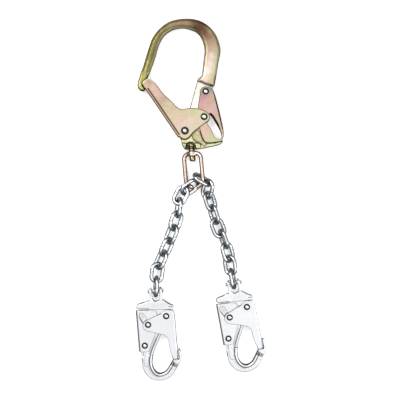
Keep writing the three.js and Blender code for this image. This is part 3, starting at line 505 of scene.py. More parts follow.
# ------------------------------------------------------------------ big hook: forged body
def build_hook():
    G = Field((-99, -5, -10.6), (61, 234, 10.6), 0.62)
    inner_pts, outer_pts = smoothed_open(BAR_INNER), smoothed_open(BAR_OUTER)
    dbar = polygon(G.X, G.Y, np.concatenate([outer_pts, inner_pts[::-1]]))
    dinner, douter = near_line(G, inner_pts), near_line(G, outer_pts)
    dtongue = G.flat(TONGUE)
    dgate, dlever = G.flat(GATE_PLATE), G.flat(LEVER_PLATE)
    dweb = G.flat(WEB)
    dboss = G.flat(BOSS)
    drec = G.flat(RECESS)
    dwin = G.flat(WINDOW)
    # the bar: round at the nose side, flatter in the heavy right arm
    heavy = ramp(G.X, 0, 30)
    r = 7.2 - 1.6 * heavy
    dend = near_line(G, np.array([BAR_OUTER[-1], BAR_INNER[-1]], float))
    out = (1 - np.clip(dend / 10, 0, 1)) * (1 - ramp(G.X, 24, 34)) * ramp(G.X, -5, 5)
    bar = G.extrude(dbar, 8.0 - 3.8 * out, r - (r - 1.2) * out)
    web = G.extrude(dweb, 4.0, 0.9)
    th = 5.7 + 2.2 * ramp(dgate, 0.7, 1.7)
    tongue = G.extrude(dtongue, th, 1.2 + 2.2 * ramp(dgate, 1.0, 4.0))
    boss = G.extrude(dboss, 9.0, 2.2)
    # the forged foot: a thick rim round a sunk panel
    foot2 = np.maximum(dweb, polygon(G.X, G.Y, [[-24, -3], [58, -3], [58, 13.2], [22, 13.6], [15, 34], [8, 38], [-8, 24], [-19, 22]]))
    # the lever's foot swings over this corner when it is squeezed, so the rim stays below its plates there
    sweep = np.full(G.X.shape, 1e9)
    for turn in (0, 3, 6, 9, 12):
        ct, st = math.cos(math.radians(turn)), math.sin(math.radians(turn))
        rel = np.array(LEVER_PLATE, float) - LEVER_PIVOT
        sweep = np.minimum(sweep, polygon(G.X, G.Y, np.stack([rel[:, 0] * ct + rel[:, 1] * st, rel[:, 1] * ct - rel[:, 0] * st], 1) + LEVER_PIVOT))
    clear = 1 - ramp(sweep, 0.3, 1.0)
    foot = G.extrude(foot2, 6.2 - 4.2 * clear, 1.6)
    F = smin(bar, web, 2.2)
    F = smin(F, tongue, 1.0)
    F = smin(F, foot, 1.4)
    F = smin(F, boss, 1.6)
    rough = 0.16 * np.sin(G.X * 2.1 + 1.3 * np.sin(G.Y * 1.7)) * np.sin(G.Y * 2.3 + 1.1 * np.sin(G.X * 1.9))
    sunk = np.maximum((drec + 0.2)[:, :, None], 4.1 + rough[:, :, None] * 2.6 - np.abs(G.Z))
    F = smax(F, -sunk, 0.9)
    # bore for the swivel stud, and the arched windows over it
    c, s = math.cos(math.radians(5)), math.sin(math.radians(5))
    U = G.X3 * c + G.Y3 * s
    V = -G.X3 * s + G.Y3 * c
    rad = np.hypot(U, G.Z)
    F = smax(F, -np.maximum(rad - 5.0, V - 8.6), 0.4)
    F = smax(F, -np.maximum(np.maximum(rad - 6.0, 3.4 - V), V - 8.9), 0.3)
    F = smax(F, -np.maximum(rad - 6.0, V - 0.1), 0.3)
    F = smax(F, -np.maximum(dwin[:, :, None], 3.6 - np.abs(G.Z)), 0.9)
    for at, rr in ((GATE_PIVOT, 4.4), (LEVER_PIVOT, 3.8)):
        F = np.maximum(F, -(G.rod_z(at, rr)))
    F = np.maximum(F, -np.maximum(G.rod_z(LEVER_PIVOT, 7.6), 0.8 - G.Z))
    v, f = G.surface(F)
    # gentle hammer texture on the forged skin
    nb = G.sample2(dbar, v)
    on_bar = nb < -0.6
    side = np.sin(v[:, 0] * 0.9 + 2 * np.sin(v[:, 1] * 0.31)) * np.sin(v[:, 1] * 0.8 + 1.7 * np.sin(v[:, 0] * 0.27))
    v[:, 2] += np.where(on_bar, np.sign(v[:, 2]) * 0.05 * side, 0)
    # the dark brown spots across the top right of the bend are a painted reflection
    tone = tones([
        (-91, 112, (0.66, 0.66, 0.38)), (-88, 122, (0.60, 0.60, 0.32)), (-86, 135, (0.58, 0.55, 0.29)), (-82, 150, (0.52, 0.49, 0.25)), (-76, 166, (0.48, 0.45, 0.23)), (-70, 182, (0.46, 0.43, 0.23)), (-62, 198, (0.47, 0.43, 0.24)),
        (-50, 212, (0.48, 0.44, 0.26)), (-38, 219, (0.58, 0.50, 0.36)), (-22, 222, (0.58, 0.46, 0.36)), (-8, 220, (0.58, 0.47, 0.36)), (2, 216, (0.44, 0.33, 0.24)), (6, 213, (0.32, 0.22, 0.16)), (14, 211, (0.36, 0.24, 0.18)),
        (23, 205, (0.38, 0.26, 0.20)), (30, 197, (0.50, 0.36, 0.29)), (36, 208, (0.60, 0.57, 0.40)), (34, 188, (0.66, 0.52, 0.43)), (46, 190, (0.64, 0.63, 0.45)), (24, 184, (0.60, 0.55, 0.42)), (34, 176, (0.72, 0.60, 0.52)), (47, 170, (0.68, 0.68, 0.50)),
        (25, 168, (0.70, 0.62, 0.52)), (34, 164, (0.90, 0.76, 0.74)), (44, 154, (0.76, 0.75, 0.62)), (31, 150, (0.92, 0.80, 0.77)), (23, 150, (0.76, 0.68, 0.58)), (42, 138, (0.78, 0.76, 0.62)), (28, 137, (0.94, 0.84, 0.80)), (38, 128, (0.78, 0.74, 0.58)),
        (26, 124, (0.90, 0.80, 0.75)), (34, 118, (0.76, 0.70, 0.60)), (12, 106, (0.95, 0.92, 0.86)), (4, 90, (0.97, 0.94, 0.88)), (0, 78, (0.97, 0.95, 0.90)), (18, 45, (0.82, 0.80, 0.58)), (0, 30, (0.80, 0.78, 0.55)),
        (10, 20, (0.80, 0.78, 0.58)), (18, 12, (0.80, 0.76, 0.58)), (-18, 14, (0.82, 0.86, 0.62)), (-18, 4, (0.78, 0.80, 0.54)), (-5, 14, (0.90, 0.90, 0.70)), (20, 3, (0.86, 0.85, 0.66)), (36, 8, (0.86, 0.86, 0.68)), (52, 14, (0.84, 0.86, 0.66)), (-20, 30, (0.80, 0.78, 0.55))],
        v, 7.0, 0.12)
    rec = G.sample2(drec, v)
    edge = G.sample2(np.minimum(np.minimum(dbar, dweb), np.minimum(dtongue, dboss)), v)
    x, y, z = v[:, 0], v[:, 1], np.abs(v[:, 2])
    vi, vo = G.sample2(dinner, v), G.sample2(douter, v)
    # painted shade round the wall of the sunk panel, and a darker floor in it: painted shade with its forged
    # texture
    shade_and_marks = 0.62 * np.exp(-((rec + 0.2) / 0.9) ** 2) * (z > 3.4)
    shade_and_marks += (rec < -0.6) * (z < 6.4) * (0.10 + 0.30 * ramp(np.sin(x * 2.1 + 1.3 * np.sin(y * 1.7)) * np.sin(y * 2.3 + 1.1 * np.sin(x * 1.9)), 0.1, 0.8))
    win = G.sample2(dwin, v)
    # painted shade inside the arched windows
    shade_and_marks += 0.92 * ramp(-win, -1.4, -0.3) * (z < 8.5)
    # painted highlight on the inner bevel of the long arm, and painted shade along the arm's edges and beside the
    # bevel
    slim = 1 - ramp(x, -5, 22)
    onb = nb < -0.15
    pale = slim * onb * ramp(vi, 0.7, 1.4) * (1 - ramp(vi, 2.9, 4.2))
    pale = np.maximum(pale, 0.7 * (1 - slim) * onb * ramp(vi, 0.8, 1.6) * (1 - ramp(vi, 2.4, 3.6)) * ramp(y, 140, 200))[:, None]
    tone = tone * (1 - 0.75 * pale) + 0.75 * pale * np.array(linear((0.80, 0.79, 0.66)))
    shade_and_marks += onb * (0.40 * np.exp(-((vi - 4.3) / 0.7) ** 2) * slim + 0.55 * (1 - ramp(vi, 0.3, 1.0)) + 0.62 * (1 - ramp(vo, 0.5, 2.0)))
    # mottled skin of the arm
    shade_and_marks += slim * onb * ramp(vi, 4.6, 5.6) * ramp(vo, 1.6, 3.0) * 0.34 * ramp(side + 0.5 * np.sin(x * 2.3 + y * 1.9), 0.15, 0.9)
    # painted shade outlining the plain web and the foot
    shade_and_marks += 0.90 * ramp(edge, -1.75, -0.95) * (nb > -0.5) * (y > 30) * ramp(G.sample2(dend, v), 3.0, 5.0)
    shade_and_marks += 0.50 * ramp(edge, -1.6, -0.8) * (nb > -0.5) * (y <= 30)
    # the shoulder where the bar runs out onto the web: a painted shade notch that fades to the left into a painted
    # highlight
    step = (nb > -2.4) & (nb < 1.6) & (y < 128) & (x > 8) & (edge < -0.9)
    fade = ramp(x, 27, 35)
    shade_and_marks += 0.72 * fade * step
    tone = tone * (1 - (step * (1 - fade))[:, None]) + (step * (1 - fade))[:, None] * np.array(linear((0.95, 0.88, 0.84)))
    # shade below the round end of the gate, along the lever's foot, and beside the gate's tip in the nose
    vg, vl = G.sample2(dgate, v), G.sample2(dlever, v)
    shade_and_marks += 0.95 * (1 - ramp(vg, 0.9, 2.3)) * (vg > -2) * (y < 27) * (x < 4) * (1 - ramp(x, -6, 4))
    shade_and_marks += 0.80 * (1 - ramp(vl, 0.7, 1.9)) * (vl > -2) * (y < 32) * (x > 10)
    shade_and_marks += 0.95 * (1 - ramp(vg, 0.8, 2.1)) * (vg > -2) * (x < -76) * (y < 116) * (1 - ramp(y, 111, 116))
    # painted highlight on the nose just past the gate's tip
    tip = (1 - ramp(vg, 0.6, 1.8)) * (vg > -0.5) * (x < -70) * ramp(y, 113, 117)
    tone = tone * (1 - 0.8 * tip[:, None]) + 0.8 * tip[:, None] * np.array(linear((0.93, 0.91, 0.78)))
    piece("big_hook_forging", v, f, AT_HOOK, "big_hook", forged_mat, ["big_hook_body"], tone, np.clip(shade_and_marks, 0, 0.95), wall=0.35 * (1 - step * (1 - fade)))


def near_line(G, pts):
    """Distance to an open line."""
    d = np.full(G.X.shape, 1e9)
    for p, q in zip(pts[:-1], pts[1:]):
        e = q - p
        t = np.clip(((G.X - p[0]) * e[0] + (G.Y - p[1]) * e[1]) / (e @ e + 1e-9), 0, 1)
        d = np.minimum(d, np.hypot(G.X - p[0] - e[0] * t, G.Y - p[1] - e[1] * t))
    return d


def smoothed_open(pts):
    p = np.array(pts, float)
    out = []
    n = len(p)
    for i in range(n - 1):
        p0 = p[i - 1] if i else 2 * p[0] - p[1]
        p3 = p[i + 2] if i + 2 < n else 2 * p[-1] - p[-2]
        p1, p2 = p[i], p[i + 1]
        k = max(1, int(np.linalg.norm(p2 - p1) / 1.6))
        for j in range(k):
            t = j / k
            out.append(0.5 * ((2 * p1) + (-p0 + p2) * t + (2 * p0 - 5 * p1 + 4 * p2 - p3) * t ** 2 + (-p0 + 3 * p1 - 3 * p2 + p3) * t ** 3))
    out.append(p[-1])
    return np.array(out)


# ------------------------------------------------------------------ folded plates: gate and lever
def folded(G, plate, spine, inner, outer, fold, edge_r=0.45, cut=None):
    """Two plates with a rolled fold along one edge."""
    dp, ds = G.flat(plate), polygon(G.X, G.Y, spine)
    d = np.minimum(dp, ds)
    near = 1 - ramp(polygon(G.X, G.Y, spine), fold * 0.5, fold * 1.6)
    r = edge_r + (fold - edge_r) * near
    shell = G.extrude(d, outer, r)
    # hollow: everything between the plates, up to the wall of the fold
    wall = 2.0
    deep = smin(np.full(d.shape, 50.0), 50 + d, 1)
    hollow2 = np.where(near > 0.02, d + wall, -3.0)
    hollow2 = np.where(polygon(G.X, G.Y, spine) < wall * 0.6, np.maximum(hollow2, 0.6), hollow2)
    ri = np.maximum(r - wall, 0.2)
    hollow = G.extrude(np.maximum(hollow2, -6.0), inner, 0.3)
    F = smax(shell, -hollow, 0.3)
    if cut is not None:
        F = np.maximum(F, -cut[:, :, None])
    return F, d, near


def build_gate():
    G = Field((-91, 12, -9.6), (36, 128, 9.6), 0.55)
    cut = np.minimum(np.hypot(G.X - GATE_PIVOT[0], G.Y - GATE_PIVOT[1]) - 4.4, np.hypot(G.X - LOCK_PIN[0], G.Y - LOCK_PIN[1]) - 3.5)
    F, d, near = folded(G, GATE_PLATE, GATE_SPINE, 6.6, 8.6, 3.6, cut=cut)
    v, f = G.surface(F)
    tone = tones([
        (-82, 112, (0.78, 0.62, 0.46)), (-72, 118, (0.72, 0.58, 0.44)), (-66, 108, (0.82, 0.62, 0.50)), (-60, 98, (0.80, 0.62, 0.54)), (-50, 88, (0.72, 0.58, 0.44)), (-42, 74, (0.80, 0.70, 0.50)),
        (-30, 60, (0.84, 0.72, 0.54)), (-30, 74, (0.80, 0.68, 0.50)), (-20, 50, (0.88, 0.70, 0.58)), (-10, 62, (0.82, 0.74, 0.52)), (0, 66, (0.80, 0.78, 0.52)), (0, 50, (0.90, 0.74, 0.64)), (12, 62, (0.78, 0.84, 0.52)),
        (12, 48, (0.88, 0.74, 0.60)), (28, 56, (0.84, 0.82, 0.56)), (-8, 40, (0.90, 0.74, 0.66)), (-16, 30, (0.86, 0.76, 0.58)), (-10, 19, (0.84, 0.80, 0.52)), (4, 36, (0.86, 0.80, 0.62))], v, 9.0)
    a, b = np.array(GATE_SPINE[0], float), np.array(GATE_SPINE[3], float)
    t = b - a; L = np.linalg.norm(t); t /= L
    n = np.array([-t[1], t[0]])
    rel = v[:, :2] - a
    along, off = rel @ t, rel @ n
    if np.median(off) < 0:
        off = -off
    # painted shade in a dark line along the fold, and a painted highlight on the fold's curve beside it
    top = np.abs(v[:, 2]) > 5
    line = 0.97 * np.exp(-((off - 4.6) / 1.6) ** 4) * (along > -1.5) * (along < L - 1) * top
    bright = np.exp(-((off - 2.0) / 1.1) ** 2) * (along > -1) * (along < L)
    tone = tone * (1 - 0.75 * bright[:, None]) + 0.75 * bright[:, None] * np.array(linear((0.93, 0.82, 0.66)))
    # painted shade outlining the plates; at the gate's end the outline gives way to a painted highlight on the lit
    # edge
    ed = G.sample2(d, v)
    end = (v[:, 0] < -66) * ramp(v[:, 1], 112, 116)
    shade_and_marks = line + (0.90 - 0.8 * end) * ramp(ed, -1.6, -0.8)
    lit = end * ramp(ed, -1.9, -1.1)
    tone = tone * (1 - 0.7 * lit[:, None]) + 0.7 * lit[:, None] * np.array(linear((0.95, 0.92, 0.80)))
    # painted shade ring round each rivet head
    for at, rr in ((GATE_PIVOT, 6.3), (LOCK_PIN, 5.6)):
        q = np.hypot(v[:, 0] - at[0], v[:, 1] - at[1]) - rr
        shade_and_marks += 0.85 * (1 - ramp(q, 0.5, 1.4))
    piece("big_gate_plates", v, f, AT_HOOK, "big_gate", gate_mat, ["big_gate"], tone, np.clip(shade_and_marks, 0, 0.92), wall=0.35)


def build_lever():
    G = Field((8, 7, -7.3), (61, 113, 7.3), 0.45)
    dslot = G.flat(LEVER_SLOT)
    cut = np.minimum(np.hypot(G.X - LEVER_PIVOT[0], G.Y - LEVER_PIVOT[1]) - 3.8, dslot)
    F, d, near = folded(G, LEVER_PLATE, LEVER_SPINE, 4.4, 6.3, 2.6, cut=cut)
    v, f = G.surface(F)
    tone = tones([
        (25, 104, (0.62, 0.62, 0.56)), (33, 104, (0.60, 0.60, 0.54)), (18, 98, (0.60, 0.58, 0.46)), (26, 92, (0.76, 0.50, 0.50)), (18, 88, (0.78, 0.46, 0.52)), (16, 74, (0.84, 0.54, 0.46)), (30, 84, (0.80, 0.58, 0.50)),
        (24, 76, (0.84, 0.60, 0.52)), (36, 90, (0.78, 0.62, 0.44)), (38, 74, (0.84, 0.60, 0.58)), (32, 66, (0.86, 0.64, 0.58)), (44, 62, (0.82, 0.62, 0.56)), (48, 48, (0.80, 0.72, 0.52)), (24, 40, (0.86, 0.68, 0.54)),
        (20, 28, (0.90, 0.66, 0.58)), (26, 18, (0.84, 0.78, 0.52)), (40, 14, (0.80, 0.84, 0.50)), (54, 18, (0.84, 0.84, 0.54)), (54, 32, (0.80, 0.66, 0.52))], v, 7.0)
    # painted shade along the folded spine
    a, b = np.array(LEVER_SPINE[1], float), np.array(LEVER_SPINE[2], float)
    t = b - a; L = np.linalg.norm(t); t /= L
    off = np.abs((v[:, 0] - a[0]) * t[1] - (v[:, 1] - a[1]) * t[0])
    along = (v[:, 0] - a[0]) * t[0] + (v[:, 1] - a[1]) * t[1]
    line = 0.92 * np.exp(-((off - 0.7) / 1.3) ** 4) * (along > -1) * (along < L * 0.94)
    dd = G.sample2(dslot, v)
    ed = G.sample2(d, v)
    # painted shade outlining the plates and the slot
    shade_and_marks = line + 0.85 * ramp(np.maximum(ed, -dd), -1.4, -0.65)
    # painted shade: a dark crescent on the far side of the slot, standing in for its shadowed inner wall
    right = (v[:, 0] - 43) * 0.91 + (v[:, 1] - 37.9) * 0.41
    down = (v[:, 0] - 43) * 0.41 - (v[:, 1] - 37.9) * 0.91
    w = 1.2 + 2.4 * (1 - ramp(down, -6, 12))
    crescent = (right > 0) * (1 - ramp(dd, w - 0.5, w)) * (down < 15)
    shade_and_marks += 0.97 * crescent
    tone = tone * (1 - crescent[:, None]) + 0.0 * tone
    # painted shade ring round the pivot rivet
    q = np.hypot(v[:, 0] - LEVER_PIVOT[0], v[:, 1] - LEVER_PIVOT[1]) - 5.4
    shade_and_marks += 0.8 * (1 - ramp(q, 0.3, 1.1))
    piece("big_lock_lever_plates", v, f, AT_HOOK, "big_lever", lever_mat, ["big_lock_lever"], tone, np.clip(shade_and_marks, 0, 0.92), wall=0.35)


# ------------------------------------------------------------------ rivets, pins and springs
def rivet_parts(shank, inner, head, high, at):
    """A domed head at each end, with a pressed ring; the outer part of each head is painted dark as shade."""
    def end(sign):
        prof = [(shank, inner - 0.4), (head - 0.2, inner), (head, inner + 0.25), (head - 0.1, inner + high * 0.30), (head - 0.7, inner + high * 0.42),
                (head - 1.35, inner + high * 0.34), (head - 1.75, inner + high * 0.36), (head - 2.2, inner + high * 0.62), (head - 2.9, inner + high * 0.86), (head * 0.3, inner + high * 0.99), (0, inner + high)]
        v, f = lathe(prof, 40)
        if sign < 0:
            v = v * np.array([1, 1, -1.0])
            f = [tuple(reversed(q)) for q in f]
        return v, f
    body = lathe([(0, -inner + 0.2), (shank, -inner + 0.2), (shank, inner - 0.2), (0, inner - 0.2)], 32)
    v, f = joined([end(1), end(-1)])
    # close the two heads through the shank
    n = 11 * 40 - 39
    a = list(range(0, 40)); b = [k + n for k in range(0, 40)]
    f = list(f)
    for i in range(40):
        j = (i + 1) % 40
        f.append((a[i], b[i], b[j], a[j]))
    rad = np.hypot(v[:, 0], v[:, 1])
    # painted shade over the outer part of each head
    ring = 0.97 * ramp(rad, head * 0.46, head * 0.57)
    return v + np.array([at[0], at[1], 0]), f, np.clip(ring, 0, 0.97)


def coil(at, radius, wire, z0, pitch, turns, tail, start):
    n = int(turns * 40)
    p = []
    for i in range(n + 1):
        a = start + i / n * turns * 2 * math.pi
        p.append((at[0] + radius * math.cos(a), at[1] + radius * math.sin(a), z0 + pitch * turns * i / n))
    a0, a1 = start, start + turns * 2 * math.pi
    first = [np.array(p[0]) + np.array([math.sin(a0), -math.cos(a0), 0]) * tail * k for k in (1, 0.66, 0.33)]
    last = [np.array(p[-1]) + np.array([-math.sin(a1), math.cos(a1), 0]) * tail * k for k in (0.33, 0.66, 1)]
    return sweep(first + p + last, wire / 2, 12, closed=False)


def build_hook_small():
    for name, sh, inn, hd, hi, at, body in (
        ("big_gate_rivet", 4.2, 8.9, 6.3, 1.9, GATE_PIVOT, "big_hook"),
        ("big_lever_rivet", 3.6, 6.6, 5.4, 1.6, LEVER_PIVOT, "big_hook"),
        ("big_lock_pin", 3.3, 8.9, 5.6, 1.7, LOCK_PIN, "big_gate")):
        v, f, g = rivet_parts(sh, inn, hd, hi, at)
        piece(name + "_turned", v, f, AT_HOOK, body, rivet_mat, [name], None, g)
    v, f = coil(GATE_PIVOT, 6.2, 0.9, 4.85, 0.98, 1.25, 5, 0.4)
    piece("big_gate_spring_wire", v, f, AT_HOOK, "big_hook", spring_mat, ["big_gate_spring"])
    v, f = coil(LEVER_PIVOT, 5.8, 1.1, 1.6, 1.25, 1.4, 0.6, -1.2)
    piece("big_lever_spring_wire", v, f, AT_HOOK, "big_hook", spring_mat, ["big_lever_spring"])


# ------------------------------------------------------------------ swivel
def build_swivel():
    prof = [(0, -22.4), (2.6, -22.4), (3.6, -22.1), (4.6, -21.3), (5.2, -20.2), (5.4, -19.0), (5.4, -14.2), (5.1, -13.5), (4.6, -13.2), (4.4, -13.0), (4.4, -4.8), (4.6, -4.6),
            (5.1, -4.3), (5.4, -3.9), (5.4, -1.1), (5.2, -0.7), (4.8, -0.5), (4.8, 2.0), (4.6, 2.3), (4.4, 2.5), (4.4, 3.8), (4.6, 4.0), (5.1, 4.2), (5.4, 4.6), (5.4, 7.0), (5.0, 7.7), (4.2, 8.1), (0, 8.1)]
    v, f = lathe(prof, 56, "y")
    y = v[:, 1]
    # painted shade in the stud's grooves and at both ends; rim adds painted shade round its outline
    g = 0.9 * (np.exp(-((y + 13.2) / 0.8) ** 2) + np.exp(-((y - 3.2) / 0.9) ** 4) + np.exp(-((y + 4.6) / 0.8) ** 4) + ramp(y, 6.8, 7.4)) + 0.5 * (1 - ramp(y, -22.0, -21.0))
    piece("swivel_stud_turned", v, f, AT_SWIVEL, "swivel", stud_mat, ["swivel_stud"], None, np.clip(g, 0, 0.93), rim=0.85)
    # the ring, round wire bent square at the top, with its eye
    w, top, bot, c, wire = 16.0, -8.65, -68.55, 9.0, 7.6
    P = []
    for i in range(25):
        a = math.pi + i / 24 * math.pi
        P.append((w * math.cos(a), bot + w + w * math.sin(a)))
    for i in range(1, 12):
        P.append((w, bot + w + i / 12 * (top - c - bot - w)))
    for i in range(9):
        a = i / 8 * math.pi / 2
        P.append((w - c + c * math.cos(a), top - c + c * math.sin(a)))
    P += [(4, top), (0, top), (-4, top)]
    for i in range(9):
        a = math.pi / 2 + i / 8 * math.pi / 2
        P.append((-w + c + c * math.cos(a), top - c + c * math.sin(a)))
    for i in range(11, 0, -1):
        P.append((-w, bot + w + i / 12 * (top - c - bot - w)))
    G = Field((-21.5, -74, -9.3), (21.5, -2.5, 9.3), 0.5)
    P = np.array(P)
    d = np.full(G.X.shape, 1e9)
    for p, q in zip(P, np.roll(P, -1, 0)):
        e = q - p
        t = np.clip(((G.X - p[0]) * e[0] + (G.Y - p[1]) * e[1]) / (e @ e + 1e-9), 0, 1)
        d = np.minimum(d, np.hypot(G.X - p[0] - e[0] * t, G.Y - p[1] - e[1] * t))
    F = np.hypot(d[:, :, None], G.Z) - wire / 2
    rad = np.hypot(G.X3, G.Z)
    q0, q1 = rad - 7.6 + 1.0, np.abs(G.Y3 + 8.8) - 4.0 + 1.0
    eye = np.minimum(np.maximum(q0, q1), 0) + np.hypot(np.maximum(q0, 0), np.maximum(q1, 0)) - 1.0
    F = smin(F, eye, 2.0)
    F = smax(F, -(rad - 4.8 + 0 * G.Y3), 0.5)
    v, f = G.surface(F)
    # painted shade round the eye's bore; rim adds painted shade round the wire's outline
    g = 0.6 * np.exp(-((np.hypot(v[:, 0], v[:, 2]) - 4.9) / 0.6) ** 2) * (v[:, 1] > -14)
    seam = 0.35 * np.exp(-((v[:, 1] + 40) / 0.7) ** 2) * (v[:, 0] < 0)
    piece("swivel_ring_bent", v, f, AT_SWIVEL @ rotation("Y", -20.0), "swivel", ring_mat, ["swivel_ring"], None, np.clip(g + seam, 0, 0.8), rim=0.85)


# ------------------------------------------------------------------ chain
def link_mesh():
    half, R, wire = 15.95, 10.25, 7.0
    s = half - R
    n = 96
    per = 4 * s + 2 * math.pi * R
    P, rad, wave = [], [], []
    for k in range(n):
        dd = per * k / n
        if dd < s: p = (dd, R)
        elif dd < s + math.pi * R: a = (dd - s) / R; p = (s + R * math.sin(a), R * math.cos(a))
        elif dd < 3 * s + math.pi * R: p = (s - (dd - s - math.pi * R), -R)
        elif dd < 3 * s + 2 * math.pi * R: a = (dd - 3 * s - math.pi * R) / R; p = (-s - R * math.sin(a), -R * math.cos(a))
        else: p = (-s + (dd - 3 * s - 2 * math.pi * R), R)
        P.append((p[0], p[1], 0))
        u = min(dd, per - dd)
        # the weld, a low bead with a dip on either side, in the middle of one long side
        rad.append(wire / 2 + 0.28 * math.exp(-(u / 1.1) ** 2) - 0.10 * math.exp(-((u - 2.4) / 0.8) ** 2))
        wave.append(0.8 * math.exp(-((u - 1.5) / 0.5) ** 2))
    v, f = sweep(P, np.array(rad), 24)
    return v, f, np.repeat(np.array(wave), 24)


def link_matrix(row):
    x, y, z, yaw, pitch, roll = row
    a, b, c = [math.radians(k) for k in (yaw, pitch, roll)]
    u = np.array([math.cos(a) * math.cos(b), math.sin(a) * math.cos(b), math.sin(b)])
    h = np.cross([0, 0, 1.0], u); h /= np.linalg.norm(h)
    vv = np.cross(u, h)
    w = h * math.cos(c) + vv * math.sin(c)
    M = np.eye(4)
    M[:3, 0], M[:3, 1], M[:3, 2] = u, w, np.cross(u, w)
    M[:3, 3] = np.array([x, y, z]) + np.array(CENTRING)
    return M


def build_chains():
    v, f, g = link_mesh()
    for side, lay in (("left", LEFT_LAY), ("right", RIGHT_LAY)):
        for i, row in enumerate(lay):
            vv = v * np.array([1, -1 if i % 2 else 1, 1])
            ff = [tuple(reversed(q)) for q in f] if i % 2 else f
            name = f"{side}_link_{i + 1}"
            # rim adds painted shade round each link's outline
            piece(name + "_welded", vv, ff, link_matrix(row), name, chain_mat, [name], None, g * 0.8, rim=0.78)


# ------------------------------------------------------------------ snap hooks
def build_snaps():
    G = Field((-40, -162.5, -8.9), (40, 8.4, 8.9), 0.5)
    bar_pts = np.concatenate([smoothed_open(S_OUTER), smoothed_open(S_INNER)[::-1]])
    dbar = polygon(G.X, G.Y, bar_pts)
    dnose, dtongue, dweb, dhat = G.flat(S_NOSE), G.flat(S_TONGUE), G.flat(S_WEB), G.flat(S_HAT)
    dpanel = G.flat(S_PANEL, smooth=False)
    # distance to the inner edge of the bar only
    inner = smoothed_open([[8.2, -63.3], [4.3, -75.5], [-0.9, -86.1], [-7.9, -99.5], [-12.3, -108.7]] + S_INNER[1:])
    din = np.full(G.X.shape, 1e9)
    for p, q in zip(inner[:-1], inner[1:]):
        e = q - p
        t = np.clip(((G.X - p[0]) * e[0] + (G.Y - p[1]) * e[1]) / (e @ e + 1e-9), 0, 1)
        din = np.minimum(din, np.hypot(G.X - p[0] - e[0] * t, G.Y - p[1] - e[1] * t))
    outer_zone = ramp(din, 4.0, 5.4)
    half = 6.0 - 0.9 * outer_zone
    bar = G.extrude(dbar, half, 2.4)
    groove_cut = np.maximum((np.abs(din - 4.7) - 0.55)[:, :, None], 4.2 - np.abs(G.Z))
    bar = smax(bar, -groove_cut, 0.5)
    panel = G.extrude(dpanel, 5.6, 0.35)
    bar = smin(bar, panel, 0.4)
    web = G.extrude(dweb, 3.6, 0.6)
    web = smax(web, -np.maximum((np.abs(din - 4.7) - 0.55)[:, :, None], 2.9 - np.abs(G.Z)), 0.3)
    nose = G.extrude(dnose, 5.2, 2.0)
    tongue = G.extrude(dtongue, 5.2, 0.8)
    flush = ramp(G.X, -16, -8) * (1 - ramp(G.Y, -28.5, -21))
    hat = G.extrude(dhat, 8.0 - 0.65 * flush, 2.4 - 2.0 * flush)
    # clevis: a block under the hat that ends in two round ears on the cross pin
    rr = np.hypot(G.Y3, G.Z)
    q0, q1 = rr - 6.9 + 0.8, np.abs(G.X3) - 11.3 + 0.8
    ears = np.minimum(np.maximum(q0, q1), 0) + np.hypot(np.maximum(q0, 0), np.maximum(q1, 0)) - 0.8
    blk = G.extrude(polygon(G.X, G.Y, [[-11.3, -17.5], [11.3, -17.5], [11.3, -1], [-11.3, -1]]), 6.5, 1.0)
    F = smin(bar, web, 1.2)
    F = smin(F, nose, 1.6)
    F = smin(F, tongue, 0.8)
    F = smin(F, hat, 1.2)
    cl = smin(ears, blk, 1.6)
    F = smin(F, cl, 2.4)
    gap = np.maximum(np.abs(G.X3) - 6.7 + 0 * G.Z, -11.0 - G.Y3)
    gap = np.minimum(gap, np.hypot(G.X3, G.Y3 + 11) - 6.7 + 0 * G.Z)
    F = smax(F, -gap, 0.7)
    F = np.maximum(F, -(rr - 3.55 + 0 * G.X3))
    # notches across the neck, under the nose
    a, b = np.array([20.9, -134.8]), np.array([24.5, -129.4])
    t = (b - a) / np.linalg.norm(b - a)
    along = (G.X - a[0]) * t[0] + (G.Y - a[1]) * t[1]
    L = np.linalg.norm(b - a)
    band = np.maximum(-along, along - L)
    lines = np.maximum(band, np.abs(((along / 1.9) % 1.0) - 0.5) * 1.9 - 0.42)
    near_neck = np.maximum(lines, dbar * 0 + np.hypot(G.X - 22.7, G.Y + 132.1) - 9.5)
    cutn = np.maximum(near_neck[:, :, None], 4.9 - np.abs(G.Z) - 0.35)
    F = smax(F, -cutn, 0.3)
    for at, r in ((S_GATE_PIVOT, 3.2), (S_LEVER_PIVOT, 2.8)):
        F = np.maximum(F, -G.rod_z(at, r))
    F = np.maximum(F, -np.maximum(G.rod_z(S_LEVER_PIVOT, 5.2), 0.4 - G.Z))
    bv, bf = G.surface(F)
    dn = G.sample2(din, bv)
    isbar = ((G.sample2(dbar, bv) < 0.3) & (bv[:, 1] < -104)) | (bv[:, 1] < -66)
    # painted shade in the groove along the bar and along its inner edge
    bg = 0.9 * np.exp(-((dn - 4.7) / 0.9) ** 2) * isbar * (np.abs(bv[:, 2]) > 2.6)
    bg += 0.8 * ramp(-dn, -1.5, -0.3) * isbar
    pe = G.sample2(dpanel, bv)
    # painted shade round the label panel's edge
    bg += 0.35 * np.exp(-(pe / 0.45) ** 2) * (np.abs(bv[:, 2]) > 4)
    bb = G.sample2(band, bv)
    # painted shade in the notches under the nose
    bg += 0.42 * (bb < 0.2) * (np.hypot(bv[:, 0] - 22.7, bv[:, 1] + 132.1) < 9.5) * (np.abs(bv[:, 2]) > 3)
    hat_v = G.sample2(dhat, bv)
    # painted shade under the hat's left end
    bg += 0.85 * np.exp(-((hat_v - 0.2) / 0.8) ** 2) * (bv[:, 1] < -25) * (1 - ramp(bv[:, 0], -24, -8)) * (np.abs(bv[:, 2]) > 3)
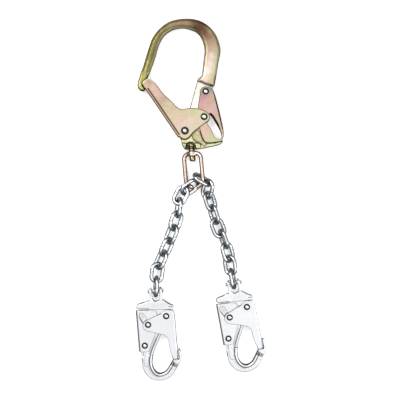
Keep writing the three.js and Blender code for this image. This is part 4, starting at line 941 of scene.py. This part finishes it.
    # painted shade round the cross pin's bore
    bg += 0.5 * (np.hypot(bv[:, 1], bv[:, 2]) < 4.4) * (np.abs(bv[:, 0]) < 13)
    # shade along the bead on the long side, and a short notch at the hat's right end
    bg += 0.30 * np.exp(-((dn - 6.9) / 1.7) ** 2) * isbar * (bv[:, 0] < -6) * (np.abs(bv[:, 2]) > 2.4)
    bg += 0.75 * (np.abs(bv[:, 1] + 28.6 + 0.13 * (bv[:, 0] - 21)) < 0.7) * (bv[:, 0] > 20.5) * (bv[:, 0] < 27.6) * (np.abs(bv[:, 2]) > 4)
    # painted shade outlining the forging, and on its side walls except at the flush end of the hat
    bg += 0.40 * ramp(G.sample2(np.minimum(np.minimum(dbar, dhat), np.minimum(dnose, dweb)), bv), -1.0, -0.3) * (np.abs(bv[:, 1] + 30) > 3) * (bv[:, 1] < -18)
    bw = 0.4 * (1 - (np.abs(bv[:, 1] + 30) < 3) * ramp(bv[:, 0], -16, -8))

    GG = Field((-31, -126, -8.2), (33.5, -31.5, 8.2), 0.45)
    cut = np.minimum(np.hypot(GG.X - S_GATE_PIVOT[0], GG.Y - S_GATE_PIVOT[1]) - 3.2, np.hypot(GG.X - S_LOCK_PIN[0], GG.Y - S_LOCK_PIN[1]) - 2.9)
    F, gd, near = folded(GG, S_GATE, S_GATESPINE, 5.8, 7.3, 2.0, edge_r=0.4, cut=cut)
    gv, gf = GG.surface(F)
    ge = GG.sample2(gd, gv)
    # painted shade outlining the gate plates below their top end and round the rivets; gw is painted side-wall
    # shade, left off at the top
    gg = 0.78 * ramp(ge, -1.05, -0.35) * (1 - ramp(gv[:, 1], -41, -38.5))
    gg += 0.6 * ramp(ge, -1.6, -0.8) * (gv[:, 1] < -115)
    gw = 0.25 * (1 - ramp(gv[:, 1], -41, -37))
    for at in (S_GATE_PIVOT, S_LOCK_PIN):
        gg += 0.6 * (1 - ramp(np.hypot(gv[:, 0] - at[0], gv[:, 1] - at[1]) - 5.3, 0.3, 1.0))
    GL = Field((-40, -108.5, -6.3), (2.0, -29.5, 6.3), 0.42)
    cutl = np.minimum(np.hypot(GL.X - S_LEVER_PIVOT[0], GL.Y - S_LEVER_PIVOT[1]) - 2.8, GL.flat(S_SLOT))
    F, ld, near = folded(GL, S_LEVER, S_LEVERSPINE, 3.9, 5.4, 1.8, edge_r=0.35, cut=cutl)
    lv, lf = GL.surface(F)
    # painted shade along the spine, round the plates and the slot below the top, and round the pivot rivet
    lg = 0.80 * (1 - ramp(GL.sample2(polygon(GL.X, GL.Y, S_LEVERSPINE), lv), 0.8, 1.3))
    dsl = GL.sample2(GL.flat(S_SLOT), lv)
    le = GL.sample2(ld, lv)
    lg += 0.70 * ramp(np.maximum(le, -dsl), -1.0, -0.35) * (1 - ramp(lv[:, 1], -36, -33))
    lg += 0.6 * (1 - ramp(np.hypot(lv[:, 0] - S_LEVER_PIVOT[0], lv[:, 1] - S_LEVER_PIVOT[1]) - 5.3, 0.3, 1.0))

    for side in ("left", "right"):
        M = at_snap(side)
        p = side + "_snap_"
        piece(p + "forging", bv, bf, M, side + "_snap", snap_mat, [p + "body"], None, np.clip(bg, 0, 0.9), wall=bw)
        piece(p + "gate_plates", gv, gf, M, side + "_snap_gate", snap_mat, [p + "gate"], None, np.clip(gg, 0, 0.9), wall=gw)
        piece(p + "lever_plates", lv, lf, M, side + "_snap_lever", snap_mat, [p + "lock_lever"], None, np.clip(lg, 0, 0.9), wall=0.4 * (1 - ramp(lv[:, 1], -37, -33)))
        for name, sh, inn, hi, at, body in (("gate_rivet", 3.0, 7.6, 1.5, S_GATE_PIVOT, "_snap"), ("lock_pin", 2.7, 7.6, 1.4, S_LOCK_PIN, "_snap_gate"), ("lever_rivet", 2.6, 5.7, 1.5, S_LEVER_PIVOT, "_snap")):
            v, f, g = rivet_parts(sh, inn, 5.3, hi, at)
            piece(p + name + "_turned", v, f, M, side + body, rivet_mat, [p + name], None, g)
        v, f = coil(S_GATE_PIVOT, 4.7, 0.8, 4.25, 0.88, 1.25, 4, 2.4)
        piece(p + "gate_spring_wire", v, f, M, side + "_snap", spring_mat, [p + "gate_spring"])
        v, f = coil(S_LEVER_PIVOT, 4.05, 0.8, 1.0, 0.95, 1.4, 0.5, 0.4)
        piece(p + "lever_spring_wire", v, f, M, side + "_snap", spring_mat, [p + "lever_spring"])
        # cross pin: upset ends with a crown, and a groove inside each
        prof = [(0, -15.2), (1.6, -15.2), (2.6, -14.9), (3.1, -14.3), (3.25, -13.6), (3.25, -12.6), (2.9, -12.3), (2.9, -11.9), (3.25, -11.6),
                (3.25, 11.6), (2.9, 11.9), (2.9, 12.3), (3.25, 12.6), (3.25, 13.6), (3.1, 14.3), (2.6, 14.9), (1.6, 15.2), (0, 15.2)]
        v, f = lathe(prof, 36, "x")
        ax = np.abs(v[:, 0])
        # painted shade in the groove inside each end
        piece(p + "clevis_pin_turned", v, f, M, side + "_snap", snap_mat, [p + "clevis_pin"], None, np.clip(0.85 * np.exp(-((ax - 12.1) / 0.6) ** 2), 0, 0.9))


build_hook()
build_gate()
build_lever()
build_hook_small()
build_swivel()
build_chains()
build_snaps()

# ------------------------------------------------------------------ floor, light and camera
def floor():
    m = bpy.data.materials.new("pale_floor")
    m.use_nodes = True
    b = m.node_tree.nodes["Principled BSDF"]
    b.inputs["Base Color"].default_value = (0.93, 0.93, 0.93, 1)
    b.inputs["Roughness"].default_value = 0.9
    b.inputs["Specular IOR Level"].default_value = 0.1
    b.inputs["Emission Color"].default_value = (1, 1, 1, 1)
    b.inputs["Emission Strength"].default_value = 0.45
    me = bpy.data.meshes.new("floor")
    s = 6.0
    me.from_pydata([(-s, -s, -0.0006), (s, -s, -0.0006), (s, s, -0.0006), (-s, s, -0.0006)], [], [(0, 1, 2, 3)])
    o = bpy.data.objects.new("floor", me)
    bpy.context.scene.collection.objects.link(o)
    me.materials.append(m)


floor()
world = bpy.data.worlds.new("studio")
bpy.context.scene.world = world
world.use_nodes = True
wn, wl = world.node_tree.nodes, world.node_tree.links
wn.clear()
wo = wn.new("ShaderNodeOutputWorld")
bg = wn.new("ShaderNodeBackground")
tc = wn.new("ShaderNodeTexCoord")
sp = wn.new("ShaderNodeSeparateXYZ")
cr = wn.new("ShaderNodeValToRGB")
wl.new(tc.outputs["Generated"], sp.inputs[0])
wl.new(sp.outputs[2], cr.inputs[0])
els = cr.color_ramp.elements
els[0].position, els[0].color = 0.0, (0.30, 0.30, 0.31, 1)
els[1].position, els[1].color = 1.0, (1.0, 1.0, 1.0, 1)
for pos, c in ((0.10, 0.06), (0.46, 0.10), (0.64, 0.62), (0.80, 0.98)):
    e = els.new(pos); e.color = (c, c, c * 1.02, 1)
wl.new(cr.outputs[0], bg.inputs[0])
bg.inputs[1].default_value = 1.0
wl.new(bg.outputs[0], wo.inputs[0])


def softbox(name, at, to, size, power):
    l = bpy.data.lights.new(name, "AREA")
    l.shape = "RECTANGLE"
    l.size, l.size_y = size
    l.energy = power
    o = bpy.data.objects.new(name, l)
    o.location = at
    d = Vector(to) - Vector(at)
    o.rotation_euler = d.to_track_quat("-Z", "Y").to_euler()
    bpy.context.scene.collection.objects.link(o)
    o.visible_camera = False
    return o


softbox("key", (-0.9, 0.7, 1.5), (0, 0, 0), (0.7, 0.7), 14)
softbox("fill", (1.1, -0.5, 1.3), (0, 0, 0), (0.8, 0.8), 8)

cam = bpy.data.cameras.new("camera")
cam.lens = 85
cam.sensor_width = 36
co = bpy.data.objects.new("camera", cam)
dist = 0.7072 * 85 / 36
co.location = (-0.00157, -0.00025, dist + 0.012)
co.rotation_euler = (0, 0, 0)
cam.clip_end = 20
bpy.context.scene.collection.objects.link(co)
bpy.context.scene.camera = co
bpy.context.scene.view_settings.view_transform = "Standard"
